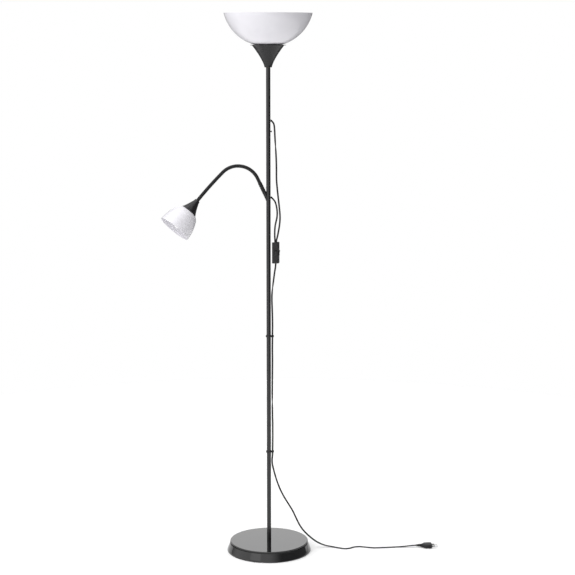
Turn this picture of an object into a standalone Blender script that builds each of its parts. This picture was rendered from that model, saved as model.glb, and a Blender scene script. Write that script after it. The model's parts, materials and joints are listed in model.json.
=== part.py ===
"""Torchiere floor lamp with a reading lamp on a gooseneck.

Metres, +Z up. The origin is on the floor, on the pole's axis. The front is -Y. The gooseneck
leans towards -X, and the leads and their switch hang on the +X side.
"""

import math

import bmesh
import bpy
from mathutils import Matrix, Vector

GAP = 0.0003  # clearance between pieces that touch
MERGE = 0.00001  # merge distance of the turned shapes
ROUTE_STEPS = 12  # fine steps between two points of a lead's route
WALL = 0.0018  # moulded plastic shells

# Base
BASE_R = 0.1385
BASE_TOP_R = 0.1287
BASE_H = 0.0340
PAD_R = 0.1180
PAD_H = 0.0025
WEIGHT_R = 0.1200
WEIGHT_H = 0.0076
HUB_R = 0.0260
NUT_POCKET_R = 0.0160
NUT_POCKET_TOP = 0.0170
STUD_R = 0.0040
NUT_FLATS = 0.0130
NUT_H = 0.0065
WASHER_R = 0.0120
WASHER_H = 0.0016

# Pole
POLE_R = 0.0070
POLE_WALL = 0.0010
POLE_BORE = POLE_R - POLE_WALL
POLE_TOP = 1.5897
POLE_JOINTS = (0.3363, 0.7233, 1.1500)  # heights where the sections meet
COUPLER_HALF = 0.0140
COUPLER_R = POLE_BORE - GAP
COUPLER_BORE = 0.0036

# Clips on the pole that guide the mains lead
CLIP_R = 0.0094
CLIP_H = 0.0064
CLIP_LEAD_X = 0.0122
CLIP_EYE_R = 0.0047
CLIP_EYE_BORE = 0.0030
HOOK_Z = 1.3880
HOOK_TURN = -25.0  # degrees about Z from +X

# Uplighter
RIM_Z = 1.7600
BOWL_FLOOR = 1.6610
BOWL_ARC_R = 0.1375  # the side is one arc, whose centre is off the axis
BOWL_ARC_X = 0.0072
BOWL_ARC_Z = 1.7936
BOWL_HOLE_R = 0.0205
BOWL_WALL = 0.0020
CUP_TOP = BOWL_FLOOR - GAP
CUP_LIP_R = 0.0568
CUP_LIP_H = 0.0016
CUP_H = 0.0707
CUP_NECK_R = 0.0120
CUP_MOUTH_R = 0.0513
CUP_FLARE = 1.36  # power of the trumpet's curve
E27_BODY_R = 0.0195
E27_BOTTOM = 1.6230
E27_TOP = 1.6745
E27_MOUTH_R = 0.0140
E27_CAP_R = 0.0131
BULB_R = 0.0285
BULB_TOP = 1.7500

# Gooseneck: s is the distance along its centre line from the pole's axis
ARM_ROOT = Vector((-0.0035, 0.0, 1.1724))
ARM_R = 0.0057
ARM_LEAN = 25.5  # degrees from upright where it leaves the pole
ARM_BEND = (0.0730, 0.2050)  # s where the main bend starts and ends
ARM_LEAN_BENT = 135.0
ARM_LEAN_END = 140.0
ARM_SWING = (0.1500, 0.2900)  # s where it comes forward
ARM_SWING_END = 17.3  # degrees towards the front at the lamp
ARM_END = 0.3276
ARM_STEP = 0.0005
SOCKET_END = 0.0236
SLEEVE_END = 0.0560
SLEEVE_R = 0.0066
RIB_PITCH = 0.0072
RIB_GROOVE = 0.0009
LINKS = 8
LINK_GAP = 0.0022
LINK_NOSE = 0.0012

# Reading lamp, in its own frame: z is 0 at the neck and falls towards the shade's mouth
R_NECK_R = 0.0087
R_CUP_R = 0.0286
R_CUP_H = 0.0475
R_HOLE_R = 0.0142
R_SHADE = (
    (0.0300, -0.0478),
    (0.0352, -0.0520),
    (0.0406, -0.0605),
    (0.0448, -0.0700),
    (0.0482, -0.0800),
    (0.0508, -0.0910),
    (0.0526, -0.1025),
    (0.0540, -0.1185),
)
E14_BODY_R = 0.0135
E14_TOP = -0.0245
E14_BOTTOM = -0.0585
E14_CAP_R = 0.0068
R_BULB_R = 0.0220
R_BULB_END = -0.1110

# Inline switch with two rockers on a ridged front, turned towards the front right
SWITCH_AT = Vector((0.0262, 0.0, 0.9971))
SWITCH_TURN = 40.0
SWITCH_W = 0.0270
SWITCH_T = 0.0160
SWITCH_L = 0.0684
SWITCH_ROOF = 35.0
SWITCH_SPLIT = -0.0028
SWITCH_WALL = 0.0016
ROCKER_W = 0.0070
ROCKER_HALF = 0.0083
ROCKER_TILT = 7.0
ROCKER_PIVOT = 0.0016  # depth of the pivot under the front

# Leads: flat twin flex, drawn as round
UPPER_EXIT_Z = 1.4225
READING_EXIT_Z = 1.1772
LEAD_R = 0.0021
LEAD_STEP = 0.0120
PLUG_L = 0.0340
PLUG_W = 0.0350
PLUG_T = 0.0136
RELIEF_L = 0.0200
PIN_R = 0.0020
PIN_L = 0.0190
PIN_SPACE = 0.0186

# Points the leads pass through, from the top down, and their ends at the switch
LEAD_TOP = SWITCH_AT.z + SWITCH_L / 2 + GAP
LEAD_OUT = SWITCH_AT.z - SWITCH_L / 2 - GAP
UPPER_ROUTE = (
    (0.0128, 0.0, 1.4184),
    (0.0154, 0.0, 1.4156),
    (0.0177, 0.0, 1.4110),
    (0.0192, 0.0, 1.4030),
    (0.0204, -0.0010, 1.3860),
    (0.0216, -0.0010, 1.3600),
    (0.0236, 0.0, 1.3300),
    (0.0252, 0.0, 1.2980),
    (0.0258, 0.0, 1.2680),
    (0.0260, 0.0, 1.2340),
    (0.0284, 0.0, 1.2040),
    (0.0315, 0.0, 1.1750),
    (0.0346, 0.0, 1.1470),
    (0.0370, 0.0, 1.1200),
    (0.0368, 0.0, 1.1000),
    (0.0344, -0.0006, 1.0800),
    (0.0314, -0.0016, 1.0630),
    (0.0284, -0.0025, 1.0490),
    (0.0261, -0.0030, 1.0400),
    (0.0254, -0.0031, LEAD_TOP),
)
READING_ROUTE = (
    (0.0128, 0.0, 1.1731),
    (0.0160, 0.0, 1.1700),
    (0.0215, -0.0010, 1.1620),
    (0.0258, -0.0015, 1.1475),
    (0.0280, -0.0018, 1.1300),
    (0.0274, -0.0014, 1.1130),
    (0.0245, -0.0006, 1.0990),
    (0.0216, 0.0004, 1.0850),
    (0.0202, 0.0014, 1.0680),
    (0.0201, 0.0024, 1.0500),
    (0.0212, 0.0030, LEAD_TOP),
)
MAINS_ROUTE = (
    (0.0232, -0.0010, LEAD_OUT),
    (0.0222, -0.0010, 0.9500),
    (0.0196, -0.0010, 0.9340),
    (0.0166, -0.0010, 0.9120),
    (0.0136, -0.0010, 0.8880),
    (0.0112, -0.0010, 0.8660),
    (0.0106, -0.0010, 0.8440),
    (0.0114, 0.0, 0.8160),
    (0.0122, 0.0, 0.7860),
    (0.0126, 0.0, 0.7580),
    (0.0122, 0.0, 0.7330),
    (0.0122, 0.0, 0.7140),
    (0.0118, 0.0, 0.6800),
    (0.0122, 0.0, 0.6450),
    (0.0118, 0.0, 0.5980),
    (0.0115, 0.0, 0.5530),
    (0.0114, 0.0, 0.5080),
    (0.0120, 0.0, 0.4620),
    (0.0127, 0.0, 0.4200),
    (0.0127, 0.0, 0.3800),
    (0.0122, 0.0, 0.3440),
    (0.0122, 0.0, 0.3310),
    (0.0114, -0.0026, 0.3200),
    (0.0104, -0.0062, 0.3090),
    (0.0112, -0.0078, 0.2960),
    (0.0148, -0.0068, 0.2790),
    (0.0205, -0.0040, 0.2560),
    (0.0280, -0.0010, 0.2310),
    (0.0375, 0.0, 0.2060),
    (0.0500, 0.0, 0.1810),
    (0.0650, 0.0, 0.1560),
    (0.0785, 0.0, 0.1330),
    (0.0900, 0.0, 0.1080),
    (0.1010, 0.0010, 0.0850),
    (0.1140, 0.0030, 0.0650),
    (0.1330, 0.0070, 0.0440),
    (0.1570, 0.0130, 0.0230),
    (0.1830, 0.0190, 0.0085),
    (0.2090, 0.0180, 0.0030),
    (0.2330, 0.0070, LEAD_R + GAP),
    (0.2530, -0.0015, LEAD_R + GAP),
    (0.2690, 0.0040, LEAD_R + GAP),
    (0.2840, 0.0150, LEAD_R + GAP),
    (0.3010, 0.0192, LEAD_R + GAP),
    (0.3220, 0.0140, LEAD_R + GAP),
    (0.3480, 0.0066, LEAD_R + GAP),
    (0.3770, 0.0080, LEAD_R + GAP),
    (0.4150, 0.0130, LEAD_R + GAP),
    (0.4450, 0.0145, 0.0030),
    (0.4700, 0.0150, 0.0056),
    (0.4893, 0.0152, 0.0072),
)

parts = None
cutters = None


def clear_scene():
    for item in list(bpy.data.objects):
        bpy.data.objects.remove(item, do_unlink=True)


def finish(name, colour, roughness, metallic=0.0):
    surface = bpy.data.materials.new(name)
    surface.use_nodes = True
    shader = surface.node_tree.nodes["Principled BSDF"]
    shader.inputs["Base Color"].default_value = (*colour, 1.0)
    shader.inputs["Roughness"].default_value = roughness
    shader.inputs["Metallic"].default_value = metallic
    return surface


def place(name, data, surface, parent=None):
    """Links an object that holds the data to the lamp's collection."""
    piece = bpy.data.objects.new(name, data)
    parts.objects.link(piece)
    if surface is not None:
        data.materials.append(surface)
    piece.parent = parent
    return piece


def empty(name, location, rotation=None, parent=None):
    """A frame that pieces are parented to; its location is in world space."""
    frame = bpy.data.objects.new(name, None)
    frame.empty_display_size = 0.02
    parts.objects.link(frame)
    world = Matrix.Translation(location)
    if rotation is not None:
        world = world @ rotation.to_4x4()
    frame.parent = parent
    if parent is not None:
        world = world_of(parent).inverted() @ world
    frame.matrix_basis = world
    return frame


def world_of(frame):
    """World matrix of an unscaled frame, read up its chain of parents."""
    if frame.parent is None:
        return frame.matrix_basis.copy()
    return world_of(frame.parent) @ frame.matrix_basis


def turned(name, profile, surface, steps=24, ring=False, parent=None):
    """A turned piece. Its (radius, height) points run down the outside, top to bottom."""
    mesh = bpy.data.meshes.new(name)
    edges = [(i, i + 1) for i in range(len(profile) - 1)]
    if ring:
        edges.append((len(profile) - 1, 0))
    mesh.from_pydata([(r, 0.0, z) for r, z in profile], edges, [])
    piece = place(name, mesh, surface, parent)
    screw = piece.modifiers.new("Turn", "SCREW")
    screw.axis = "Z"
    screw.steps = steps
    screw.render_steps = steps
    screw.use_merge_vertices = True
    screw.merge_threshold = MERGE
    screw.use_smooth_shade = True
    return piece


def shade_round(mesh):
    mesh.shade_smooth()
    mesh.set_sharp_from_angle(angle=math.radians(35))


def cylinder(name, radius, start, end, surface, sides=16, parent=None, end_radius=None):
    """A cylinder, or a cone, between two points of its parent's frame."""
    start, end = Vector(start), Vector(end)
    along = end - start
    turn = along.to_track_quat("Z", "Y").to_matrix().to_4x4()
    shape = bmesh.new()
    bmesh.ops.create_cone(
        shape,
        cap_ends=True,
        segments=sides,
        radius1=radius,
        radius2=radius if end_radius is None else end_radius,
        depth=along.length,
        matrix=Matrix.Translation((start + end) / 2) @ turn,
    )
    mesh = bpy.data.meshes.new(name)
    shape.to_mesh(mesh)
    shape.free()
    shade_round(mesh)
    return place(name, mesh, surface, parent)


def block(name, size, centre, surface, parent=None, rounding=0.0):
    shape = bmesh.new()
    sized = Matrix.Diagonal((*size, 1.0))
    bmesh.ops.create_cube(shape, size=1.0, matrix=Matrix.Translation(centre) @ sized)
    mesh = bpy.data.meshes.new(name)
    shape.to_mesh(mesh)
    shape.free()
    piece = place(name, mesh, surface, parent)
    if rounding:
        round_edges(piece, rounding)
    return piece


def round_edges(piece, width, segments=1):
    bevel = piece.modifiers.new("Round", "BEVEL")
    bevel.width = width
    bevel.segments = segments
    bevel.limit_method = "ANGLE"
    bevel.angle_limit = math.radians(40)


def plate(name, outline, thickness, surface, parent=None):
    """A flat outline, drawn in XY, extruded to both sides along Z and made a mesh."""
    curve = bpy.data.curves.new(name, "CURVE")
    curve.dimensions = "2D"
    curve.fill_mode = "BOTH"
    curve.extrude = thickness / 2
    spline = curve.splines.new("POLY")
    spline.points.add(len(outline) - 1)
    for point, (x, y) in zip(spline.points, outline):
        point.co = (x, y, 0.0, 1.0)
    spline.use_cyclic_u = True
    return meshed(place(name, curve, surface, parent))


def meshed(piece):
    """The same piece as a mesh with welded caps, which a Boolean can cut."""
    bpy.context.view_layer.update()
    depsgraph = bpy.context.evaluated_depsgraph_get()
    mesh = bpy.data.meshes.new_from_object(piece.evaluated_get(depsgraph))
    shape = bmesh.new()
    shape.from_mesh(mesh)
    bmesh.ops.remove_doubles(shape, verts=shape.verts, dist=MERGE)
    shape.to_mesh(mesh)
    shape.free()
    name, parent, local = piece.name, piece.parent, piece.matrix_basis.copy()
    curve = piece.data
    bpy.data.objects.remove(piece)
    bpy.data.curves.remove(curve)
    piece = bpy.data.objects.new(name, mesh)
    parts.objects.link(piece)
    piece.parent = parent
    piece.matrix_basis = local
    return piece


def tube(name, points, radius, surface, parent=None, resolution=2, nose=None):
    """A round bar along the points, with the first and last at a reduced radius if asked."""
    curve = bpy.data.curves.new(name, "CURVE")
    curve.dimensions = "3D"
    curve.bevel_depth = radius
    curve.bevel_resolution = resolution
    curve.use_fill_caps = True
    spline = curve.splines.new("POLY")
    spline.points.add(len(points) - 1)
    for point, place_at in zip(spline.points, points):
        point.co = (*place_at, 1.0)
    if nose is not None:
        spline.points[0].radius = nose
        spline.points[-1].radius = nose
    return place(name, curve, surface, parent)


def boolean(piece, other, operation="DIFFERENCE"):
    """Cuts or joins with the other object, which becomes a hidden guide."""
    modifier = piece.modifiers.new(operation.title(), "BOOLEAN")
    modifier.operation = operation
    modifier.object = other
    modifier.solver = "EXACT"
    other.hide_render = True
    other.display_type = "WIRE"
    parts.objects.unlink(other)
    cutters.objects.link(other)


def smooth_route(points, spacing):
    """Evenly spaced points on a Catmull-Rom curve through the route's own points."""
    route = [Vector(p) for p in points]
    ends = [route[0] * 2 - route[1]] + route + [route[-1] * 2 - route[-2]]
    curve = []
    for a, b, c, d in zip(ends, ends[1:], ends[2:], ends[3:]):
        for step in range(ROUTE_STEPS):
            t = step / ROUTE_STEPS
            curve.append(
                0.5 * (2 * b + (c - a) * t + (2 * a - 5 * b + 4 * c - d) * t**2)
                + 0.5 * (3 * b - a - 3 * c + d) * t**3
            )
    curve.append(route[-1])
    return evenly(curve, spacing)


def evenly(curve, spacing):
    """The curve's points read again at equal distances, with both ends kept."""
    travelled = [0.0]
    for a, b in zip(curve, curve[1:]):
        travelled.append(travelled[-1] + (b - a).length)
    count = round(travelled[-1] / spacing)
    points = []
    span = 0
    for number in range(count):
        wanted = travelled[-1] * number / count
        while travelled[span + 1] < wanted:
            span += 1
        part = (wanted - travelled[span]) / (travelled[span + 1] - travelled[span])
        points.append(curve[span].lerp(curve[span + 1], part))
    points.append(curve[-1])
    return points


# ---------------------------------------------------------------- base


def base_cover(surface):
    """Moulded shell: a flat top, a rounded rim over a crease, and a flared skirt."""
    outside = [
        (STUD_R + GAP, BASE_H),
        (BASE_TOP_R - 0.0030, BASE_H),
        (BASE_TOP_R - 0.0008, BASE_H - 0.0007),
        (BASE_TOP_R, BASE_H - 0.0024),
        (BASE_TOP_R - 0.0006, BASE_H - 0.0046),
        (BASE_TOP_R + 0.0016, BASE_H - 0.0074),
        (BASE_R - 0.0044, 0.0150),
        (BASE_R - 0.0008, 0.0050),
        (BASE_R, 0.0012),
    ]
    inside = [
        (BASE_R - WALL, 0.0012),
        (BASE_R - WALL - 0.0046, 0.0150),
        (BASE_TOP_R - 0.0034, BASE_H - 0.0060),
        (BASE_TOP_R - 0.0048, BASE_H - WALL),
        (STUD_R + GAP, BASE_H - WALL),
    ]
    return turned("base_cover", outside + inside, surface, steps=40, ring=True)


def base_weight(surface):
    """Iron disc with a hub that carries the cover and hides the nut."""
    bottom = PAD_H + GAP
    hub_top = BASE_H - WALL - GAP
    profile = [
        (STUD_R + GAP, hub_top),
        (HUB_R, hub_top),
        (HUB_R + 0.0030, bottom + WEIGHT_H),
        (WEIGHT_R, bottom + WEIGHT_H),
        (WEIGHT_R, bottom),
        (NUT_POCKET_R, bottom),
        (NUT_POCKET_R, NUT_POCKET_TOP),
        (STUD_R + GAP, NUT_POCKET_TOP),
    ]
    return turned("base_weight", profile, surface, steps=28, ring=True)


def base_fastening(surface):
    """The stud that holds the pole, with its washer and nut in the hub's pocket."""
    spigot = COUPLER_R
    stud = [
        (0.0, BASE_H + 0.0280),
        (spigot, BASE_H + 0.0280),
        (spigot, BASE_H + GAP),
        (STUD_R, BASE_H + GAP),
        (STUD_R, PAD_H + 0.0030),
        (0.0, PAD_H + 0.0030),
    ]
    turned("pole_stud", stud, surface, steps=16)
    washer_top = NUT_POCKET_TOP - GAP
    washer = [
        (STUD_R + GAP, washer_top),
        (WASHER_R, washer_top),
        (WASHER_R, washer_top - WASHER_H),
        (STUD_R + GAP, washer_top - WASHER_H),
    ]
    turned("base_washer", washer, surface, steps=16, ring=True)
    hex_nut("base_nut", NUT_FLATS, NUT_H, washer_top - WASHER_H - GAP, STUD_R + GAP, surface)


def hex_nut(name, flats, height, top, bore, surface, parent=None):
    radius = flats / math.sqrt(3)
    nut = cylinder(name, radius, (0, 0, top - height), (0, 0, top), surface, 6, parent)
    hole = cylinder(
        name + "_bore", bore, (0, 0, top - 2 * height), (0, 0, top + height), None, 16, parent
    )
    boolean(nut, hole)


def base_pad(surface):
    """Felt disc that closes the underside and is what the lamp stands on."""
    profile = [(0.0, PAD_H), (PAD_R, PAD_H), (PAD_R, 0.0), (0.0, 0.0)]
    turned("base_pad", profile, surface, steps=28)


# ---------------------------------------------------------------- pole


def pole(surface, steel):
    """Sections of tube that meet end to end over hollow screwed couplers."""
    feet = (BASE_H + GAP,) + tuple(z + GAP for z in POLE_JOINTS)
    tops = POLE_JOINTS + (POLE_TOP,)
    for number, (foot, top) in enumerate(zip(feet, tops), 1):
        profile = [(POLE_BORE, top), (POLE_R, top), (POLE_R, foot), (POLE_BORE, foot)]
        section = turned(f"pole_section_{number}", profile, surface, steps=20, ring=True)
    drill_top_section(section)
    for number, height in enumerate(POLE_JOINTS, 1):
        top, bottom = height + COUPLER_HALF, height - COUPLER_HALF
        profile = [
            (COUPLER_BORE, top),
            (COUPLER_R, top),
            (COUPLER_R, bottom),
            (COUPLER_BORE, bottom),
        ]
        turned(f"pole_coupler_{number}", profile, steel, steps=12, ring=True)


def drill_top_section(section):
    """Holes for the gooseneck's spigot, both lead exits and the small cord hook."""
    spigot = arm_frame("spigot_hole_frame")
    hole = cylinder("spigot_hole", 0.0041, (0, 0, -0.0040), (0, 0, 0.0300), None, 16, spigot)
    boolean(section, hole)
    for name, height in (("upper", UPPER_EXIT_Z), ("reading", READING_EXIT_Z)):
        start, end = (0.0030, 0, height), (0.0090, 0, height)
        boolean(section, cylinder(name + "_exit_hole", 0.0031 + GAP, start, end, None, 12))
    hook = hook_frame("hook_hole_frame")
    boolean(section, cylinder("hook_hole", 0.0018, (0.0030, 0, 0), (0.0090, 0, 0), None, 8, hook))


def hook_frame(name):
    turn = Matrix.Rotation(math.radians(HOOK_TURN), 3, "Z")
    return empty(name, (0, 0, HOOK_Z), turn)


def cord_hook(surface):
    """A small headed peg that is pressed into the pole."""
    frame = hook_frame("cord_hook_frame")
    profile = [
        (0.0, 0.0116),
        (0.0024, 0.0116),
        (0.0029, 0.0108),
        (0.0029, 0.0098),
        (0.0020, 0.0094),
        (0.0020, POLE_R + GAP),
        (0.0015, POLE_R + GAP),
        (0.0015, POLE_BORE - 0.0012),
        (0.0, POLE_BORE - 0.0012),
    ]
    hook = turned("cord_hook", profile, surface, steps=12, parent=frame)
    hook.rotation_euler = (0.0, math.radians(90), 0.0)


def lead_clips(surface):
    """Two clips: a ring round the pole with a small eye for the mains lead beside it."""
    for name, height in (("lower", POLE_JOINTS[0]), ("middle", POLE_JOINTS[1])):
        low, high = height - CLIP_H / 2, height + CLIP_H / 2
        clip = cylinder(f"lead_clip_{name}", CLIP_R, (0, 0, low), (0, 0, high), surface, 20)
        eye = (CLIP_LEAD_X, 0, low), (CLIP_LEAD_X, 0, high)
        boolean(clip, cylinder(f"{name}_eye", CLIP_EYE_R, *eye, None, 14), "UNION")
        through = (0, 0, low - CLIP_H), (0, 0, high + CLIP_H)
        boolean(clip, cylinder(f"{name}_pole_hole", POLE_R + GAP, *through, None, 20))
        lead = (CLIP_LEAD_X, 0, low - CLIP_H), (CLIP_LEAD_X, 0, high + CLIP_H)
        boolean(clip, cylinder(f"{name}_lead_hole", CLIP_EYE_BORE, *lead, None, 14))
        mouth = (0.0034, 0.0060, 3 * CLIP_H)
        centre = (CLIP_LEAD_X, -0.0050, height)
        boolean(clip, block(f"{name}_mouth", mouth, centre, None))


def grommet(name, height, surface):
    """A solid bush through the pole's wall, whose nose turns the lead down at 45 degrees."""
    bush = cylinder(name, 0.0031, (0.0050, 0, height), (0.0084, 0, height), surface, 12)
    nose = cylinder(
        name + "_nose",
        0.0034,
        (0.0082, 0, height + 0.0005),
        (0.0122, 0, height - 0.0035),
        None,
        12,
        end_radius=0.0027,
    )
    guard = cylinder(name + "_guard", POLE_R + GAP, (0, 0, height - 0.02), (0, 0, height + 0.02), None, 24)
    boolean(nose, guard)
    bpy.context.view_layer.update()
    boolean(bush, nose, "UNION")


# ---------------------------------------------------------------- uplighter


def cup_profile(top, height, mouth, neck, flare, points=7):
    """Radii of a trumpet from its mouth down to its neck."""
    rows = []
    for i in range(points + 1):
        t = i / points
        rows.append((neck + (mouth - neck) * (1 - t) ** flare, top - height * t))
    return rows


def upper_cup(surface):
    """Trumpet that hides the lampholder, with a thin lip under the bowl."""
    cone_top = CUP_TOP - CUP_LIP_H
    cone_h = CUP_H - CUP_LIP_H
    outside = [(CUP_LIP_R, CUP_TOP), (CUP_LIP_R, cone_top)]
    outside += cup_profile(cone_top - 0.0006, cone_h - 0.0006, CUP_MOUTH_R, CUP_NECK_R, CUP_FLARE)
    floor = CUP_TOP - CUP_H
    bore = 0.0058
    inside = [(bore, floor), (bore, floor + 0.0040)]
    inner = cup_profile(
        CUP_TOP - CUP_LIP_H, cone_h - 0.0040, CUP_MOUTH_R - WALL, CUP_NECK_R - WALL, CUP_FLARE, 5
    )
    inside += [(r, z) for r, z in reversed(inner)]
    inside.append((CUP_MOUTH_R - WALL + 0.0006, CUP_TOP))
    turned("upper_cup", outside + inside, surface, steps=28, ring=True)


def bowl_side(offset, points=8):
    """Radii of the bowl from its rim down to its flat floor, set in by the offset."""
    radius = BOWL_ARC_R - offset
    floor = BOWL_FLOOR + offset
    start = math.asin((BOWL_ARC_Z - RIM_Z) / radius)
    end = math.asin((BOWL_ARC_Z - floor) / radius)
    rows = []
    for i in range(points + 1):
        angle = start + (end - start) * i / points
        rows.append((BOWL_ARC_X + radius * math.cos(angle), BOWL_ARC_Z - radius * math.sin(angle)))
    return rows


def bowl_shade(surface):
    outside = bowl_side(0.0) + [(BOWL_HOLE_R, BOWL_FLOOR)]
    inside = [(BOWL_HOLE_R, BOWL_FLOOR + BOWL_WALL)] + bowl_side(BOWL_WALL, 6)[::-1]
    turned("bowl_shade", outside + inside, surface, steps=40, ring=True)


def upper_holder(plastic, steel, brass):
    """E27 lampholder on a hollow nipple and nut, and the ring that clamps the bowl."""
    body = [
        (E27_MOUTH_R, E27_TOP),
        (E27_BODY_R, E27_TOP),
        (E27_BODY_R, E27_BOTTOM + 0.0060),
        (E27_BODY_R - 0.0050, E27_BOTTOM),
        (0.0058, E27_BOTTOM),
        (0.0058, E27_BOTTOM + 0.0040),
        (E27_MOUTH_R, E27_BOTTOM + 0.0120),
    ]
    turned("upper_lampholder", body, plastic, steps=20, ring=True)
    nipple_top, nipple_foot = E27_BOTTOM + 0.0100, POLE_TOP - 0.0200
    nipple = [
        (0.0035, nipple_top),
        (0.0055, nipple_top),
        (0.0055, nipple_foot),
        (0.0035, nipple_foot),
    ]
    turned("upper_nipple", nipple, brass, steps=16, ring=True)
    hex_nut("upper_nut", 0.0140, 0.0050, CUP_TOP - CUP_H + 0.0040 + GAP + 0.0050, 0.0058, steel)
    ring_foot = BOWL_FLOOR + BOWL_WALL + GAP
    ring = [
        (E27_BODY_R + 0.0004, ring_foot + 0.0070),
        (0.0235, ring_foot + 0.0070),
        (0.0240, ring_foot + 0.0022),
        (0.0285, ring_foot + 0.0016),
        (0.0285, ring_foot),
        (E27_BODY_R + 0.0004, ring_foot),
    ]
    turned("bowl_ring", ring, plastic, steps=20, ring=True)


def bulb(name, seat, top, radius, neck, surface, parent=None, points=7):
    """A pear bulb between two heights; seat is its collar and top its crown."""
    direction = 1.0 if top > seat else -1.0
    centre = top - direction * radius
    rows = [(0.0, top)]
    for i in range(1, points + 1):
        angle = math.radians(118) * i / points
        rows.append((radius * math.sin(angle), centre + direction * radius * math.cos(angle)))
    rows += [(neck, seat + direction * 0.0060), (neck - 0.0006, seat), (0.0, seat)]
    if direction < 0:
        rows.reverse()
    turned(name, rows, surface, steps=16, parent=parent)


def upper_lamp(opal, metal):
    cap_top = E27_TOP + 0.0010
    cap = [
        (0.0, cap_top),
        (E27_CAP_R, cap_top),
        (E27_CAP_R, cap_top - 0.0180),
        (0.0060, cap_top - 0.0225),
        (0.0, cap_top - 0.0225),
    ]
    turned("upper_bulb_cap", cap, metal, steps=16)
    bulb("upper_bulb", cap_top + GAP, BULB_TOP, BULB_R, E27_CAP_R + 0.0004, opal)


def upper_wire(surface):
    """The uplighter's lead inside the pole, from its exit to the lampholder."""
    route = [
        (0.0, 0.0, E27_BOTTOM + 0.0160),
        (0.0, 0.0, POLE_TOP - 0.0500),
        (0.0, 0.0, UPPER_EXIT_Z + 0.0300),
        (0.0008, 0.0, UPPER_EXIT_Z + 0.0120),
        (0.0018, 0.0, UPPER_EXIT_Z + 0.0050),
    ]
    tube("upper_wire", route, LEAD_R, surface)


# ---------------------------------------------------------------- gooseneck


def arm_heading(s):
    """Direction of the centre line at distance s from the pole's axis."""
    bend_start, bend_end = ARM_BEND
    if s < bend_start:
        lean = ARM_LEAN
    elif s < bend_end:
        lean = ARM_LEAN + (ARM_LEAN_BENT - ARM_LEAN) * (s - bend_start) / (bend_end - bend_start)
    else:
        rest = (s - bend_end) / (ARM_END - bend_end)
        lean = ARM_LEAN_BENT + (ARM_LEAN_END - ARM_LEAN_BENT) * rest
    swing_start, swing_end = ARM_SWING
    forward = min(1.0, max(0.0, (s - swing_start) / (swing_end - swing_start)))
    lean, swing = math.radians(lean), math.radians(ARM_SWING_END) * forward
    return Vector(
        (
            -math.sin(lean) * math.cos(swing),
            -math.sin(swing),
            math.cos(lean) * math.cos(swing),
        )
    )


def arm_points():
    """The centre line, walked in short steps from the pole's axis."""
    here = ARM_ROOT.copy()
    points = [here.copy()]
    for step in range(round(ARM_END / ARM_STEP) + 1):
        here = here + arm_heading((step + 0.5) * ARM_STEP) * ARM_STEP
        points.append(here.copy())
    return points


def arm_at(s, line):
    whole = int(s / ARM_STEP)
    return line[whole].lerp(line[whole + 1], s / ARM_STEP - whole)


def arm_frame(name):
    """A frame at the gooseneck's root whose Z runs along it."""
    turn = arm_heading(0.0).to_track_quat("Z", "Y").to_matrix()
    return empty(name, ARM_ROOT, turn)


def ribbed(start, end):
    """Profile of a ribbed sleeve, top to bottom, between two distances."""
    rows = [(0.0, end), (SLEEVE_R - 0.0004, end)]
    at = end - 0.0008
    rows.append((SLEEVE_R, at))
    while at - RIB_PITCH > start + 0.0010:
        bottom = at - RIB_PITCH
        rows += [
            (SLEEVE_R, bottom + 0.0026),
            (SLEEVE_R - RIB_GROOVE, bottom + 0.0020),
            (SLEEVE_R - RIB_GROOVE, bottom + 0.0006),
            (SLEEVE_R, bottom),
        ]
        at = bottom
    rows += [(SLEEVE_R, start), (0.0, start)]
    return rows


def arm_mount(rubber, plastic, steel):
    """Socket on the pole's side with a spigot through its wall, the sleeve and a screw."""
    frame = arm_frame("arm_frame")
    socket = turned("arm_socket", ribbed(-0.0060, SOCKET_END), plastic, steps=14, parent=frame)
    guard = cylinder("socket_guard", POLE_R + GAP, (0, 0, 1.12), (0, 0, 1.26), None, 32)
    boolean(socket, guard)
    cut_behind = block("socket_back", (0.04, 0.04, 0.12), (0.0200, 0, 1.19), None)
    boolean(socket, cut_behind)
    spigot = cylinder("socket_spigot", 0.0038, (0, 0, 0.0010), (0, 0, 0.0150), None, 16, frame)
    boolean(socket, spigot, "UNION")
    sleeve = ribbed(SOCKET_END + GAP, SLEEVE_END)
    turned("arm_sleeve", sleeve, rubber, steps=14, parent=frame)
    screw_frame = empty("arm_screw_frame", (0, 0, 1.2078), Matrix.Rotation(math.radians(-90), 3, "Y"))
    head_in, head_out = POLE_R + GAP, POLE_R + 0.0020
    screw = [(0.0, head_out), (0.0014, head_out), (0.0019, head_in + 0.0006), (0.0019, head_in)]
    screw += [(0.0, head_in)]
    turned("arm_screw", screw, steel, steps=12, parent=screw_frame)


def gooseneck(surface):
    """Links that hinge in turn; the last one carries the lamp. Returns the last hinge."""
    line = arm_points()
    length = (ARM_END - SLEEVE_END) / LINKS
    hinge = None
    for number in range(1, LINKS + 1):
        start = SLEEVE_END + length * (number - 1)
        end = start + length
        origin = arm_at(start, line)
        hinge = empty(f"gooseneck_hinge_{number}", origin, parent=hinge)
        first = start + LINK_GAP / 2
        last = end - (LINK_GAP / 2 if number < LINKS else GAP)
        stops = [first, first + LINK_NOSE]
        stops += [first + (last - first) * i / 5 for i in range(1, 5)]
        stops += [last - LINK_NOSE, last]
        points = [arm_at(s, line) - origin for s in stops]
        tube(f"gooseneck_{number}", points, ARM_R, surface, hinge, 4, 0.8)
    return hinge


# ---------------------------------------------------------------- reading lamp


def reading_frame(hinge):
    """Frame at the gooseneck's end; its -Z points out of the shade."""
    line = arm_points()
    turn = (-arm_heading(ARM_END)).to_track_quat("Z", "Y").to_matrix()
    return empty("reading_lamp_frame", arm_at(ARM_END, line), turn, hinge)


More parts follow.
